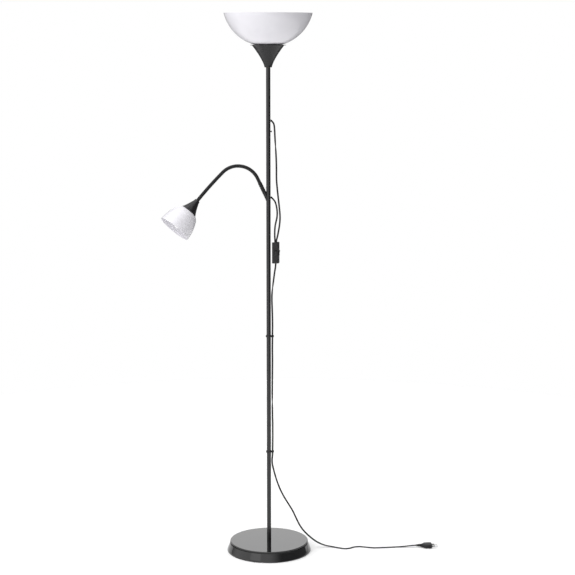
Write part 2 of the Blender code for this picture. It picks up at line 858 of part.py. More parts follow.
def reading_cup(frame, surface):
    outside = [
        (0.0053, 0.0),
        (R_NECK_R - 0.0006, 0.0),
        (R_NECK_R, -0.0010),
        (R_NECK_R + 0.0006, -0.0050),
        (0.0124, -0.0140),
        (0.0172, -0.0260),
        (0.0228, -0.0375),
        (R_CUP_R - 0.0004, -0.0466),
        (R_CUP_R, -R_CUP_H),
    ]
    inside = [
        (R_CUP_R - WALL - 0.0004, -R_CUP_H),
        (0.0228 - WALL, -0.0390),
        (0.0172 - WALL, -0.0275),
        (0.0124 - WALL, -0.0155),
        (R_NECK_R - WALL, -0.0040),
        (0.0053, -0.0034),
    ]
    turned("reading_cup", outside + inside, surface, steps=20, ring=True, parent=frame)


def reading_shade(frame, surface):
    """Bell shade with a flat top that the ring clamps to the lampholder."""
    top = R_SHADE[0][1]
    outside = [(R_HOLE_R, top), (R_CUP_R - 0.0010, top)] + list(R_SHADE)
    inside = [(r - BOWL_WALL, z) for r, z in R_SHADE[:0:-1]]
    inside[0] = (R_SHADE[-1][0] - BOWL_WALL, R_SHADE[-1][1])
    inside += [(R_CUP_R, top - BOWL_WALL), (R_HOLE_R, top - BOWL_WALL)]
    turned("reading_shade", outside + inside, surface, steps=28, ring=True, parent=frame)


def reading_holder(frame, plastic, brass, opal, metal):
    body = [
        (0.0053, E14_TOP),
        (E14_BODY_R - 0.0030, E14_TOP),
        (E14_BODY_R, E14_TOP - 0.0050),
        (E14_BODY_R, E14_BOTTOM),
        (0.0080, E14_BOTTOM),
        (0.0080, E14_TOP - 0.0100),
        (0.0053, E14_TOP - 0.0060),
    ]
    turned("reading_lampholder", body, plastic, steps=16, ring=True, parent=frame)
    nipple = [(0.0034, -GAP), (0.0050, -GAP), (0.0050, E14_TOP - 0.0070), (0.0034, E14_TOP - 0.0070)]
    turned("reading_nipple", nipple, brass, steps=14, ring=True, parent=frame)
    ring_top = R_SHADE[0][1] - BOWL_WALL - GAP
    ring = [
        (E14_BODY_R + 0.0004, ring_top),
        (0.0210, ring_top),
        (0.0210, ring_top - 0.0014),
        (0.0170, ring_top - 0.0022),
        (0.0165, ring_top - 0.0060),
        (E14_BODY_R + 0.0004, ring_top - 0.0060),
    ]
    turned("shade_ring", ring, plastic, steps=16, ring=True, parent=frame)
    cap_end = E14_BOTTOM - 0.0010
    cap = [
        (0.0, cap_end + 0.0200),
        (0.0040, cap_end + 0.0200),
        (E14_CAP_R, cap_end + 0.0160),
        (E14_CAP_R, cap_end),
        (0.0, cap_end),
    ]
    turned("reading_bulb_cap", cap, metal, steps=14, parent=frame)
    bulb("reading_bulb", cap_end - GAP, R_BULB_END, R_BULB_R, E14_CAP_R + 0.0010, opal, frame)


# ---------------------------------------------------------------- switch


def switch_frame():
    """Frame at the switch's centre: X across it, -Y out of its front, Z up."""
    turn = Matrix.Rotation(math.radians(SWITCH_TURN), 3, "Z")
    return empty("switch_frame", SWITCH_AT, turn)


def switch_housing(frame, surface, steel):
    """Two hollow halves that part behind the ridge, with a screw through the back."""
    half, back = SWITCH_W / 2, SWITCH_T / 2
    shoulder = -back + half * math.tan(math.radians(SWITCH_ROOF))
    split = -SWITCH_SPLIT
    front = [(-half, split), (-half, shoulder), (0.0, -back), (half, shoulder), (half, split)]
    rear = [(-half, back), (-half, split + GAP), (half, split + GAP), (half, back)]
    shell = plate("switch_front", front, SWITCH_L, surface, frame)
    round_edges(shell, 0.0010)
    wall = SWITCH_WALL
    slope = wall / math.cos(math.radians(SWITCH_ROOF))
    hollow = [
        (-half + wall, split + 0.0040),
        (-half + wall, shoulder + slope),
        (0.0, -back + slope),
        (half - wall, shoulder + slope),
        (half - wall, split + 0.0040),
    ]
    boolean(shell, plate("front_hollow", hollow, SWITCH_L - 2 * wall, None, frame))
    tray = plate("switch_back", rear, SWITCH_L, surface, frame)
    round_edges(tray, 0.0010)
    depth = back - split
    size = (SWITCH_W - 2 * wall, depth, SWITCH_L - 2 * wall)
    boolean(tray, block("back_hollow", size, (0, back - wall - depth / 2, 0), None, frame))
    for side in (-1, 1):
        slot = rocker_frame(frame, f"rocker_slot_{side}", side)
        size = (ROCKER_W + 0.0008, 0.0080, 2 * ROCKER_HALF + 0.0014)
        boolean(shell, block(f"rocker_hole_{side}", size, (0, 0, 0), None, slot))
    screw_z = SWITCH_L / 2 - 0.0100
    screw_hole = cylinder("screw_hole", 0.0016, (0, 0, screw_z), (0, 0.02, screw_z), None, 12, frame)
    boolean(tray, screw_hole)
    screw = cylinder(
        "switch_screw", 0.0013, (0, 0.0010, screw_z), (0, back + 0.0006, screw_z), steel, 12, frame
    )
    head = (0, back + GAP, screw_z), (0, back + 0.0012, screw_z)
    boolean(screw, cylinder("screw_head", 0.0026, *head, None, 14, frame), "UNION")
    contacts = (0.0130, 0.0030, 0.0300)
    block("switch_contacts", contacts, (0, back - wall - GAP - 0.0015, -0.0060), steel, frame, 0.0004)


def rocker_frame(frame, name, side):
    """Frame on one slope of the ridge: X across it, -Y out of it."""
    slope = math.radians(SWITCH_ROOF) * side
    mid = SWITCH_W / 4
    height = -SWITCH_T / 2 + mid * math.tan(math.radians(SWITCH_ROOF))
    local = Matrix.Translation((side * mid, height, 0)) @ Matrix.Rotation(slope, 4, "Z")
    holder = empty(name, (0, 0, 0), parent=frame)
    holder.matrix_basis = local
    return holder


def rockers(frame, surface):
    """Two rockers, each tipped with its upper end out."""
    outline = [
        (-ROCKER_HALF, -0.0002),
        (-ROCKER_HALF, -0.0028),
        (0.0, -0.0016),
        (ROCKER_HALF, -0.0028),
        (ROCKER_HALF, -0.0002),
        (0.0035, 0.0026),
        (-0.0035, 0.0026),
    ]
    for name, side in (("rocker_reading", -1), ("rocker_upper", 1)):
        seat = rocker_frame(frame, name + "_seat", side)
        holder = empty(name + "_pivot", (0, 0, 0), parent=seat)
        tip = Matrix.Rotation(math.radians(ROCKER_TILT), 4, "X")
        holder.matrix_basis = Matrix.Translation((0, ROCKER_PIVOT, 0)) @ tip
        lifted = [(z, y - ROCKER_PIVOT) for z, y in outline]
        rocker = plate(name, lifted, ROCKER_W, surface, holder)
        rocker.rotation_euler = (0.0, math.radians(-90), 0.0)
        round_edges(rocker, 0.0004)


# ---------------------------------------------------------------- leads and plug


def leads(surface):
    tube("upper_lead", smooth_route(UPPER_ROUTE, LEAD_STEP), LEAD_R, surface)
    tube("reading_lead", smooth_route(READING_ROUTE, LEAD_STEP * 0.7), LEAD_R, surface)
    tube("mains_lead", smooth_route(MAINS_ROUTE, LEAD_STEP * 1.4), LEAD_R, surface)


def plug(rubber, steel):
    """A flat two-pin plug with a moulded strain relief, lying on the floor."""
    end = Vector(MAINS_ROUTE[-1])
    frame = empty("plug_frame", end)
    start = GAP
    neck = start + RELIEF_L
    face = neck + PLUG_L
    half = PLUG_W / 2
    outline = [
        (neck, -0.0075),
        (neck + 0.0120, -half),
        (face - 0.0040, -half),
        (face, -half + 0.0035),
        (face, half - 0.0035),
        (face - 0.0040, half),
        (neck + 0.0120, half),
        (neck, 0.0075),
    ]
    body = plate("plug_body", outline, PLUG_T - 0.0008, rubber, frame)
    body.location = (0, 0, 0)
    round_edges(body, 0.0022)
    relief = cylinder(
        "plug_relief", 0.0030, (start, 0, 0), (neck + 0.004, 0, 0), None, 14, frame, 0.0056
    )
    boolean(body, relief, "UNION")
    for number, side in enumerate((-1, 1), 1):
        y = side * PIN_SPACE / 2
        pin = (face + GAP, y, 0), (face + PIN_L, y, 0)
        rod = cylinder(f"plug_pin_{number}", PIN_R, *pin, steel, 12, frame)
        round_edges(rod, 0.0007)


def build():
    powder = finish("black_powder_coat", (0.018, 0.018, 0.019), 0.38, 0.2)
    gloss = finish("black_gloss_plastic", (0.012, 0.012, 0.013), 0.14)
    satin = finish("black_satin_plastic", (0.020, 0.020, 0.021), 0.42)
    dull = finish("black_rubber", (0.014, 0.014, 0.015), 0.6)
    white = finish("white_opal_plastic", (0.85, 0.85, 0.87), 0.22)
    opal = finish("opal_glass", (0.93, 0.93, 0.90), 0.12)
    steel = finish("zinc_steel", (0.62, 0.62, 0.60), 0.35, 1.0)
    brass = finish("brass", (0.72, 0.55, 0.28), 0.35, 1.0)
    iron = finish("cast_iron", (0.10, 0.10, 0.10), 0.7, 0.6)
    felt = finish("grey_felt", (0.12, 0.12, 0.12), 0.95)

    base_cover(gloss)
    base_weight(iron)
    base_fastening(steel)
    base_pad(felt)
    pole(powder, steel)
    cord_hook(satin)
    lead_clips(satin)
    grommet("upper_grommet", UPPER_EXIT_Z, dull)
    grommet("reading_grommet", READING_EXIT_Z, dull)

    upper_cup(satin)
    bowl_shade(white)
    upper_holder(satin, steel, brass)
    upper_lamp(opal, steel)
    upper_wire(dull)

    arm_mount(dull, satin, steel)
    frame = reading_frame(gooseneck(dull))
    reading_cup(frame, satin)
    reading_shade(frame, white)
    reading_holder(frame, satin, brass, opal, steel)

    frame = switch_frame()
    switch_housing(frame, satin, steel)
    rockers(frame, satin)
    leads(dull)
    plug(dull, steel)


clear_scene()
parts = bpy.data.collections.new("torchiere_floor_lamp")
cutters = bpy.data.collections.new("cutters")
bpy.context.scene.collection.children.link(parts)
bpy.context.scene.collection.children.link(cutters)
build()
bpy.context.view_layer.update()
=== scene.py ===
"""Looks of the torchiere floor lamp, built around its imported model.

Metres, +Z up, in the model's frame: the pole stands on the origin, the front is -Y, the
gooseneck leans towards -X, and the leads hang on the +X side.
"""

import json
import math

import bmesh
import bpy
from mathutils import Matrix, Vector


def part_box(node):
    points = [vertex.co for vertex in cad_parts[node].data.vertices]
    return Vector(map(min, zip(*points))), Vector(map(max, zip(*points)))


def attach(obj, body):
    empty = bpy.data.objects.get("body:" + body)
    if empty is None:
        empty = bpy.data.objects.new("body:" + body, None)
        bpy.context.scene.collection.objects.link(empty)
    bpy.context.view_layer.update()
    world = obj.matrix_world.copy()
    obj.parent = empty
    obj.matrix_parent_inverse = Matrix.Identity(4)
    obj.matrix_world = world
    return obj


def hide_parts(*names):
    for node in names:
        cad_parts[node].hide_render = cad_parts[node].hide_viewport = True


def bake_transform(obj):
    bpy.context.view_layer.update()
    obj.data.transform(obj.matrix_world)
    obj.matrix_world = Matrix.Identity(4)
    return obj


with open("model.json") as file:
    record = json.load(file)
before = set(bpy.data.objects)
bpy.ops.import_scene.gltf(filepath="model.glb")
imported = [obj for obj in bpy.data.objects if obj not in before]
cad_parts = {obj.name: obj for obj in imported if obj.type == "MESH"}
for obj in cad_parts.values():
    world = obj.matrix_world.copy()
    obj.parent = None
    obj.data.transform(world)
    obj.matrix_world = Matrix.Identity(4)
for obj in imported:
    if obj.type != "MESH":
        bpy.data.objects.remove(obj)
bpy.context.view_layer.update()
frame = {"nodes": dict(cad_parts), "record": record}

GAP = 0.0003  # what touching pieces keep between them
SHARP = math.radians(34)  # edges over this angle stay sharp
CORNER_SHARE = 0.48  # the most of an edge that a rounded corner takes
CORNER_LEAD = 1.04  # a point this far out keeps the flat beside a corner flat
ON_AXIS = 0.000001
WELD = 0.00001
CURVE_STEPS = 12  # steps between two points of a smooth curve

# Pole fittings and bowl
CLIP_LEAD_X = 0.0122
HOOK_Z = 1.388
HOOK_TURN = -25.0  # degrees about Z from +X
BOWL_ARC_R = 0.1375  # the bowl's side is one arc, whose centre is off the axis
BOWL_ARC_X = 0.0072
BOWL_ARC_Z = 1.7936

# Gooseneck: s is the distance along its centre line from the pole's axis
ARM_ROOT = Vector((-0.0035, 0.0, 1.1724))
ARM_R = 0.0057
ARM_LEAN = 25.5  # degrees from upright where it leaves the pole
ARM_BEND = (0.073, 0.205)
ARM_LEAN_BENT = 135.0
ARM_LEAN_END = 140.0
ARM_SWING = (0.15, 0.29)
ARM_SWING_END = 17.3  # degrees towards the front at the lamp
ARM_END = 0.3276
ARM_STEP = 0.0005
SOCKET_END = 0.0236
SLEEVE_END = 0.056
SLEEVE_R = 0.0066
POLE_GUARD_R = 0.0071  # the pole's radius and a little air
LINKS = 8
LINK_LENGTH = (ARM_END - SLEEVE_END) / LINKS
FIRST_START = 0.008  # the sleeve starts this far before the first hinge, inside arm_sleeve
RIB_PITCH = 0.0072
NECK_GROOVE = 0.0003

# Reading lamp, as (radius, height) in its own frame: it falls from the neck to the mouth
READING_CUP = (
    (0.0087, -0.001), (0.0093, -0.005), (0.0124, -0.014), (0.0172, -0.026),
    (0.0228, -0.0375), (0.0286, -0.0475),
)
READING_SHADE = (
    (0.03, -0.0478), (0.0352, -0.052), (0.0406, -0.0605), (0.0448, -0.07),
    (0.0482, -0.08), (0.0508, -0.091), (0.0526, -0.1025), (0.054, -0.1185),
)

# Switch and leads
SWITCH_AT = Vector((0.0262, 0.0, 0.9971))
SWITCH_TURN = 40.0
SWITCH_W = 0.027
SWITCH_T = 0.016
SWITCH_L = 0.0684
SWITCH_ROOF = 35.0
ROCKER_TILT = 7.0
ROCKER_PIVOT = 0.0016
UPPER_EXIT_Z = 1.4225
READING_EXIT_Z = 1.1772
FLEX_W = 0.0054  # flat twin flex: two cores side by side
FLEX_T = 0.0034
LEAD_TOP = SWITCH_AT.z + SWITCH_L / 2 + GAP
LEAD_OUT = SWITCH_AT.z - SWITCH_L / 2 - GAP
FLOOR_LEAD = 0.0019  # height of a lead's centre line where it lies on the floor
ROUTE_STEP = 0.0025
UPPER_ROUTE = (
    (0.0128, 0.0, 1.4184), (0.0154, 0.0, 1.4156), (0.0177, 0.0, 1.411),
    (0.0192, 0.0, 1.403), (0.0204, -0.001, 1.386), (0.0216, -0.001, 1.36),
    (0.0236, 0.0, 1.33), (0.0252, 0.0, 1.298), (0.0258, 0.0, 1.268),
    (0.026, 0.0, 1.234), (0.0284, 0.0, 1.204), (0.0315, 0.0, 1.175),
    (0.0346, 0.0, 1.147), (0.037, 0.0, 1.12), (0.0368, 0.0, 1.1),
    (0.0344, -0.0006, 1.08), (0.0314, -0.0016, 1.063), (0.0284, -0.0025, 1.049),
    (0.0261, -0.003, 1.04), (0.0254, -0.0031, LEAD_TOP),
)
READING_ROUTE = (
    (0.0128, 0.0, 1.1731), (0.016, 0.0, 1.17), (0.0215, -0.001, 1.162),
    (0.0258, -0.0015, 1.1475), (0.028, -0.0018, 1.13), (0.0274, -0.0014, 1.113),
    (0.0245, -0.0006, 1.099), (0.0216, 0.0004, 1.085), (0.0202, 0.0014, 1.068),
    (0.0201, 0.0024, 1.05), (0.0212, 0.003, LEAD_TOP),
)
MAINS_ROUTE = (
    (0.0232, -0.001, LEAD_OUT), (0.0222, -0.001, 0.95), (0.0196, -0.001, 0.934),
    (0.0166, -0.001, 0.912), (0.0136, -0.001, 0.888), (0.0112, -0.001, 0.866),
    (0.0106, -0.001, 0.844), (0.0114, 0.0, 0.816), (0.0122, 0.0, 0.786),
    (0.0126, 0.0, 0.758), (0.0122, 0.0, 0.733), (0.0122, 0.0, 0.714),
    (0.0118, 0.0, 0.68), (0.0122, 0.0, 0.645), (0.0118, 0.0, 0.598),
    (0.0115, 0.0, 0.553), (0.0114, 0.0, 0.508), (0.012, 0.0, 0.462),
    (0.0127, 0.0, 0.42), (0.0127, 0.0, 0.38), (0.0122, 0.0, 0.344),
    (0.0122, 0.0, 0.331), (0.0114, -0.0026, 0.32), (0.0104, -0.0062, 0.309),
    (0.0112, -0.0078, 0.296), (0.0148, -0.0068, 0.279), (0.0205, -0.004, 0.256),
    (0.028, -0.001, 0.231), (0.0375, 0.0, 0.206), (0.05, 0.0, 0.181),
    (0.065, 0.0, 0.156), (0.0785, 0.0, 0.133), (0.09, 0.0, 0.108),
    (0.101, 0.001, 0.085), (0.114, 0.003, 0.065), (0.133, 0.007, 0.044),
    (0.157, 0.013, 0.023), (0.183, 0.019, 0.0085), (0.209, 0.018, 0.003),
    (0.233, 0.007, FLOOR_LEAD), (0.253, -0.0015, FLOOR_LEAD),
    (0.269, 0.004, FLOOR_LEAD), (0.284, 0.015, FLOOR_LEAD),
    (0.301, 0.0192, FLOOR_LEAD), (0.322, 0.014, FLOOR_LEAD),
    (0.348, 0.0066, FLOOR_LEAD), (0.377, 0.008, FLOOR_LEAD),
    (0.415, 0.013, FLOOR_LEAD), (0.445, 0.0145, 0.003), (0.47, 0.015, 0.0056),
    (0.4893, 0.0152, 0.0072),
)


# ---------------------------------------- mesh helpers


def smooth(mesh):
    mesh.shade_smooth()
    mesh.set_sharp_from_angle(angle=SHARP)


def link_data(name, data):
    """A new object in the scene that shows the mesh, curve, camera or light."""
    item = bpy.data.objects.new(name, data)
    bpy.context.scene.collection.objects.link(item)
    return item


def closed_mesh(name, mesh, matrix=None, weld=0.0):
    """A new object from a closed mesh, with its faces turned outwards."""
    shape = bmesh.new()
    shape.from_mesh(mesh)
    if weld:
        bmesh.ops.remove_doubles(shape, verts=shape.verts, dist=weld)
    bmesh.ops.recalc_face_normals(shape, faces=shape.faces)
    shape.to_mesh(mesh)
    shape.free()
    if matrix is not None:
        mesh.transform(matrix)
    smooth(mesh)
    return link_data(name, mesh)


def mesh_object(name, verts, faces, matrix=None):
    mesh = bpy.data.meshes.new(name)
    mesh.from_pydata([tuple(v) for v in verts], [], faces)
    return closed_mesh(name, mesh, matrix)


def finish_piece(item, look, body, *nodes):
    """Gives a piece its look, its body and the CAD nodes that it stands for."""
    item.data.materials.clear()
    item.data.materials.append(LOOKS[look])
    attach(item, body)
    if nodes:
        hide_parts(*nodes)
    return item


def rounded(points, closed=True, steps=4):
    """An outline with its corners rounded: a point's third number is its corner's size."""
    count = len(points)
    outline = []
    for i, point in enumerate(points):
        here = Vector(point[:2])
        size = point[2] if len(point) > 2 else 0.0
        if not size or not (closed or 0 < i < count - 1):
            outline.append(here)
            continue
        before = Vector(points[i - 1][:2]) - here
        after = Vector(points[(i + 1) % count][:2]) - here
        before *= min(CORNER_SHARE, size / before.length)
        after *= min(CORNER_SHARE, size / after.length)
        outline.append(here + before * CORNER_LEAD)
        for k in range(steps + 1):
            t = k / steps
            outline.append(here + before * (1 - t) ** 2 + after * t**2)
        outline.append(here + after * CORNER_LEAD)
    return outline


def fair(points, count):
    """The (radius, height) points of an open outline, read again from a smooth curve."""
    curve = smooth_route([(r, 0.0, z) for r, z in points])
    return [(p.x, p.z) for p in evenly(curve, length_of(curve) / count)]


def inset(points, wall):
    """An open outline moved by the wall's thickness to its right-hand side."""
    moved = []
    for i, point in enumerate(points):
        before, after = points[max(i - 1, 0)], points[min(i + 1, len(points) - 1)]
        along = (Vector(after[:2]) - Vector(before[:2])).normalized()
        moved.append((point[0] + along.y * wall, point[1] - along.x * wall))
    return moved


def lathe(name, outline, steps, matrix=None, corner=4, ripple=None):
    """Turns an outline of (radius, height) points about Z, with its corners rounded.

    An outline that starts on Z also ends there, and any other one is a closed ring.
    ripple(radius, height, angle) gives a new radius, for flutes and grips.
    """
    closed = outline[0][0] > ON_AXIS
    verts, rows = [], []
    for radius, height in rounded(outline, closed, corner):
        if radius < ON_AXIS:
            rows.append([len(verts)] * steps)
            verts.append((0.0, 0.0, height))
            continue
        rows.append(list(range(len(verts), len(verts) + steps)))
        for k in range(steps):
            angle = 2 * math.pi * k / steps
            r = radius if ripple is None else ripple(radius, height, angle)
            verts.append((r * math.cos(angle), r * math.sin(angle), height))
    pairs = list(zip(rows, rows[1:]))
    if closed:
        pairs.append((rows[-1], rows[0]))
    faces = []
    for low, high in pairs:
        for k in range(steps):
            n = (k + 1) % steps
            face = list(dict.fromkeys((low[k], low[n], high[n], high[k])))
            if len(face) > 2:
                faces.append(face)
    return mesh_object(name, verts, faces, matrix)


def turned(node, ending, outline, steps, look, body="stand", **shape):
    """A turned piece that stands for one CAD node and is named after it."""
    return finish_piece(lathe(node + ending, outline, steps, **shape), look, body, node)


def loft(name, sections):
    """Skins closed sections, all with the same number of points, and caps both ends."""
    verts = [point for section in sections for point in section]
    count = len(sections[0])
    faces = []
    for i in range(len(sections) - 1):
        for k in range(count):
            n = (k + 1) % count
            low, high = i * count, (i + 1) * count
            faces.append((low + k, low + n, high + n, high + k))
    faces.append(tuple(range(count)))
    faces.append(tuple(range(len(verts) - count, len(verts))))
    return mesh_object(name, verts, faces)


def sweep(name, path, frames, outline):
    """Carries an outline along a path: outline(i) gives its (side, up) points at point i."""
    sections = []
    for i, (here, (side, up)) in enumerate(zip(path, frames)):
        sections.append([here + side * a + up * b for a, b in outline(i)])
    return loft(name, sections)


def carried(path, first_side):
    """A side and an up direction at each point, carried along the path without twist."""
    side = Vector(first_side)
    pairs = []
    for i in range(len(path)):
        ahead = path[min(i + 1, len(path) - 1)] - path[max(i - 1, 0)]
        ahead.normalize()
        side = (side - ahead * side.dot(ahead)).normalized()
        pairs.append((side.copy(), ahead.cross(side).normalized()))
    return pairs


def smooth_route(points, spacing=None):
    """Points on a Catmull-Rom curve through the given ones, evenly spaced if asked."""
    route = [Vector(p) for p in points]
    ends = [route[0] * 2 - route[1]] + route + [route[-1] * 2 - route[-2]]
    curve = []
    for a, b, c, d in zip(ends, ends[1:], ends[2:], ends[3:]):
        for step in range(CURVE_STEPS):
            t = step / CURVE_STEPS
            curve.append(
                0.5 * (2 * b + (c - a) * t + (2 * a - 5 * b + 4 * c - d) * t**2)
                + 0.5 * (3 * b - a - 3 * c + d) * t**3
            )
    curve.append(route[-1])
    return curve if spacing is None else evenly(curve, spacing)


def evenly(curve, spacing):
    """The curve's points read again at equal distances, with both ends kept."""
    travelled = [0.0]
    for a, b in zip(curve, curve[1:]):
        travelled.append(travelled[-1] + (b - a).length)
    count = max(2, round(travelled[-1] / spacing))
    points = []
    span = 0
    for number in range(count):
        wanted = travelled[-1] * number / count
        while travelled[span + 1] < wanted:
            span += 1
        part = (wanted - travelled[span]) / (travelled[span + 1] - travelled[span])
        points.append(curve[span].lerp(curve[span + 1], part))
    points.append(curve[-1])
    return points


def length_of(points):
    return sum((b - a).length for a, b in zip(points, points[1:]))


def plate(name, splines, thickness, edge, matrix):
    """A flat plate with rounded edges from closed outlines in XY; inner ones are holes."""
    curve = bpy.data.curves.new(name, "CURVE")
    curve.dimensions = "2D"
    curve.fill_mode = "BOTH"
    curve.extrude = thickness / 2 - edge
    curve.bevel_depth = edge
    curve.bevel_resolution = 3
    curve.offset = -edge
    for outline in splines:
        spline = curve.splines.new("POLY")
        spline.points.add(len(outline) - 1)
        for point, (x, y) in zip(spline.points, outline):
            point.co = (x, y, 0.0, 1.0)
        spline.use_cyclic_u = True
    item = link_data(name + "_curve", curve)
    mesh = evaluated_mesh(item)
    bpy.data.objects.remove(item)
    bpy.data.curves.remove(curve)
    return closed_mesh(name, mesh, matrix, weld=WELD)


def spin(degrees, axis):
    """A turn about an axis, as a matrix."""
    return Matrix.Rotation(math.radians(degrees), 4, axis)


def evaluated_mesh(item):
    bpy.context.view_layer.update()
    depsgraph = bpy.context.evaluated_depsgraph_get()
    return bpy.data.meshes.new_from_object(item.evaluated_get(depsgraph))


def cut(item, *others, operation="DIFFERENCE"):
    """Cuts the piece with the others, or joins it to them, and removes them."""
    for other in others:
        modifier = item.modifiers.new("Cut", "BOOLEAN")
        modifier.operation = operation
        modifier.object = other
        modifier.solver = "EXACT"
    mesh = evaluated_mesh(item)
    item.modifiers.clear()
    item.data = mesh
    smooth(mesh)
    for other in others:
        bpy.data.objects.remove(other)
    return item


def facing(place, ahead):
    """A frame at a place, as a matrix, whose Z points ahead."""
    return Matrix.Translation(place) @ ahead.to_track_quat("Z", "Y").to_matrix().to_4x4()


def rod(name, radius, start, end, sides, matrix=Matrix()):
    """A plain round bar between two points, for cutting."""
    start, end = Vector(start), Vector(end)
    length = (end - start).length
    outline = [(0.0, 0.0), (radius, 0.0), (radius, length), (0.0, length)]
    return lathe(name, outline, sides, matrix @ facing(start, end - start))


def box(name, low, high, matrix=None):
    """A plain block between two corners, for cutting."""
    low, high = Vector(low), Vector(high)
    shape = bmesh.new()
    sized = Matrix.Diagonal((*(high - low), 1.0))
    bmesh.ops.create_cube(shape, size=1.0, matrix=Matrix.Translation((low + high) / 2) @ sized)
    mesh = bpy.data.meshes.new(name)
    shape.to_mesh(mesh)
    shape.free()
    if matrix is not None:
        mesh.transform(matrix)
    return link_data(name, mesh)


# ---------------------------------------- camera, floor and light

# Directional light from the studio's walls: direction, how many degrees from it the light
# ends and is full, and its strength
SOFT_LIGHTS = (
    ((0.0, 0.95, 0.32), 20, 9, 1.45),
    ((-0.74, -0.66, 0.14), 84, 44, 1.05),
    ((0.0, 0.0, 1.0), 55, 20, 1.55),
)
DIM_LIGHT = 0.18  # from everywhere else
KEY_AT = (-2.6, -3.2, 2.6)
KEY_TARGET = (0.0, 0.0, 1.0)
KEY_SIZE = (2.4, 2.6)
KEY_POWER = 12.0
CAMERA_AT = (0.0, -4.944, 1.679)
CAMERA_DOWN = 9.14  # degrees below level
CAMERA_RIGHT = 0.7095  # degrees to the right of +Y
CAMERA_LENS = 96.73  # mm, on a sensor of 36 mm
FLOOR_R = 2.6


def set_range(item, *numbers):
    """Sets what a Map Range node maps from and to: two limits each."""
    for socket, number in zip(("From Min", "From Max", "To Min", "To Max"), numbers):
        item.inputs[socket].default_value = number


def add_camera():
    data = bpy.data.cameras.new("camera")
    data.sensor_width = 36.0
    data.lens = CAMERA_LENS
    camera = link_data("camera", data)
    camera.location = CAMERA_AT
    camera.rotation_euler = (math.radians(90.0 - CAMERA_DOWN), 0.0, math.radians(-CAMERA_RIGHT))
    data.clip_end = 200.0
    bpy.context.scene.camera = camera


def add_floor():
    """A round floor of white paper, which the top light makes as bright as what lies beyond."""
    bpy.ops.mesh.primitive_circle_add(vertices=128, radius=FLOOR_R, fill_type="NGON")
    floor = bpy.context.object
    floor.name = "floor"
    look = Look("studio_floor", (0.94, 0.94, 0.94), 0.9, Specular_IOR_Level=0.0)
    floor.data.materials.append(look.material)


def add_key_light():
    data = bpy.data.lights.new("key", "AREA")
    data.shape = "RECTANGLE"
    data.size, data.size_y = KEY_SIZE
    data.energy = KEY_POWER
    lamp = link_data("key", data)
    lamp.location = KEY_AT
    aim = Vector(KEY_TARGET) - Vector(KEY_AT)
    lamp.rotation_euler = aim.to_track_quat("-Z", "Y").to_euler()


def add_light():
    """A white studio: soft light from some sides and dim between them, white to the camera."""
    world = bpy.data.worlds.new("studio")
    bpy.context.scene.world = world
    world.use_nodes = True
    tree = world.node_tree
    shade = tree.nodes["Background"]
    shade.inputs["Color"].default_value = (1.0, 1.0, 1.0, 1.0)
    place = tree.nodes.new("ShaderNodeTexCoord").outputs["Generated"]
    total = None
    for direction, edge, core, strength in SOFT_LIGHTS:
        dot = tree.nodes.new("ShaderNodeVectorMath")
        dot.operation = "DOT_PRODUCT"
        dot.inputs[1].default_value = Vector(direction).normalized()
        tree.links.new(place, dot.inputs[0])
        ramp = tree.nodes.new("ShaderNodeMapRange")
        ramp.interpolation_type = "SMOOTHSTEP"
        set_range(ramp, math.cos(math.radians(edge)), math.cos(math.radians(core)), 0.0, strength)
        tree.links.new(dot.outputs["Value"], ramp.inputs["Value"])
        add = tree.nodes.new("ShaderNodeMath")
        add.inputs[0].default_value = DIM_LIGHT
        if total is not None:
            tree.links.new(total, add.inputs[0])
        tree.links.new(ramp.outputs["Result"], add.inputs[1])
        total = add.outputs[0]
    rays = tree.nodes.new("ShaderNodeLightPath")
    pick = tree.nodes.new("ShaderNodeMix")
    tree.links.new(rays.outputs["Is Camera Ray"], pick.inputs[0])
    tree.links.new(total, pick.inputs[2])
    pick.inputs[3].default_value = 1.0
    tree.links.new(pick.outputs[0], shade.inputs["Strength"])
    bpy.context.scene.view_settings.view_transform = "Standard"


# ---------------------------------------- materials


LOOKS = {}  # each look's material, by the name of its slot


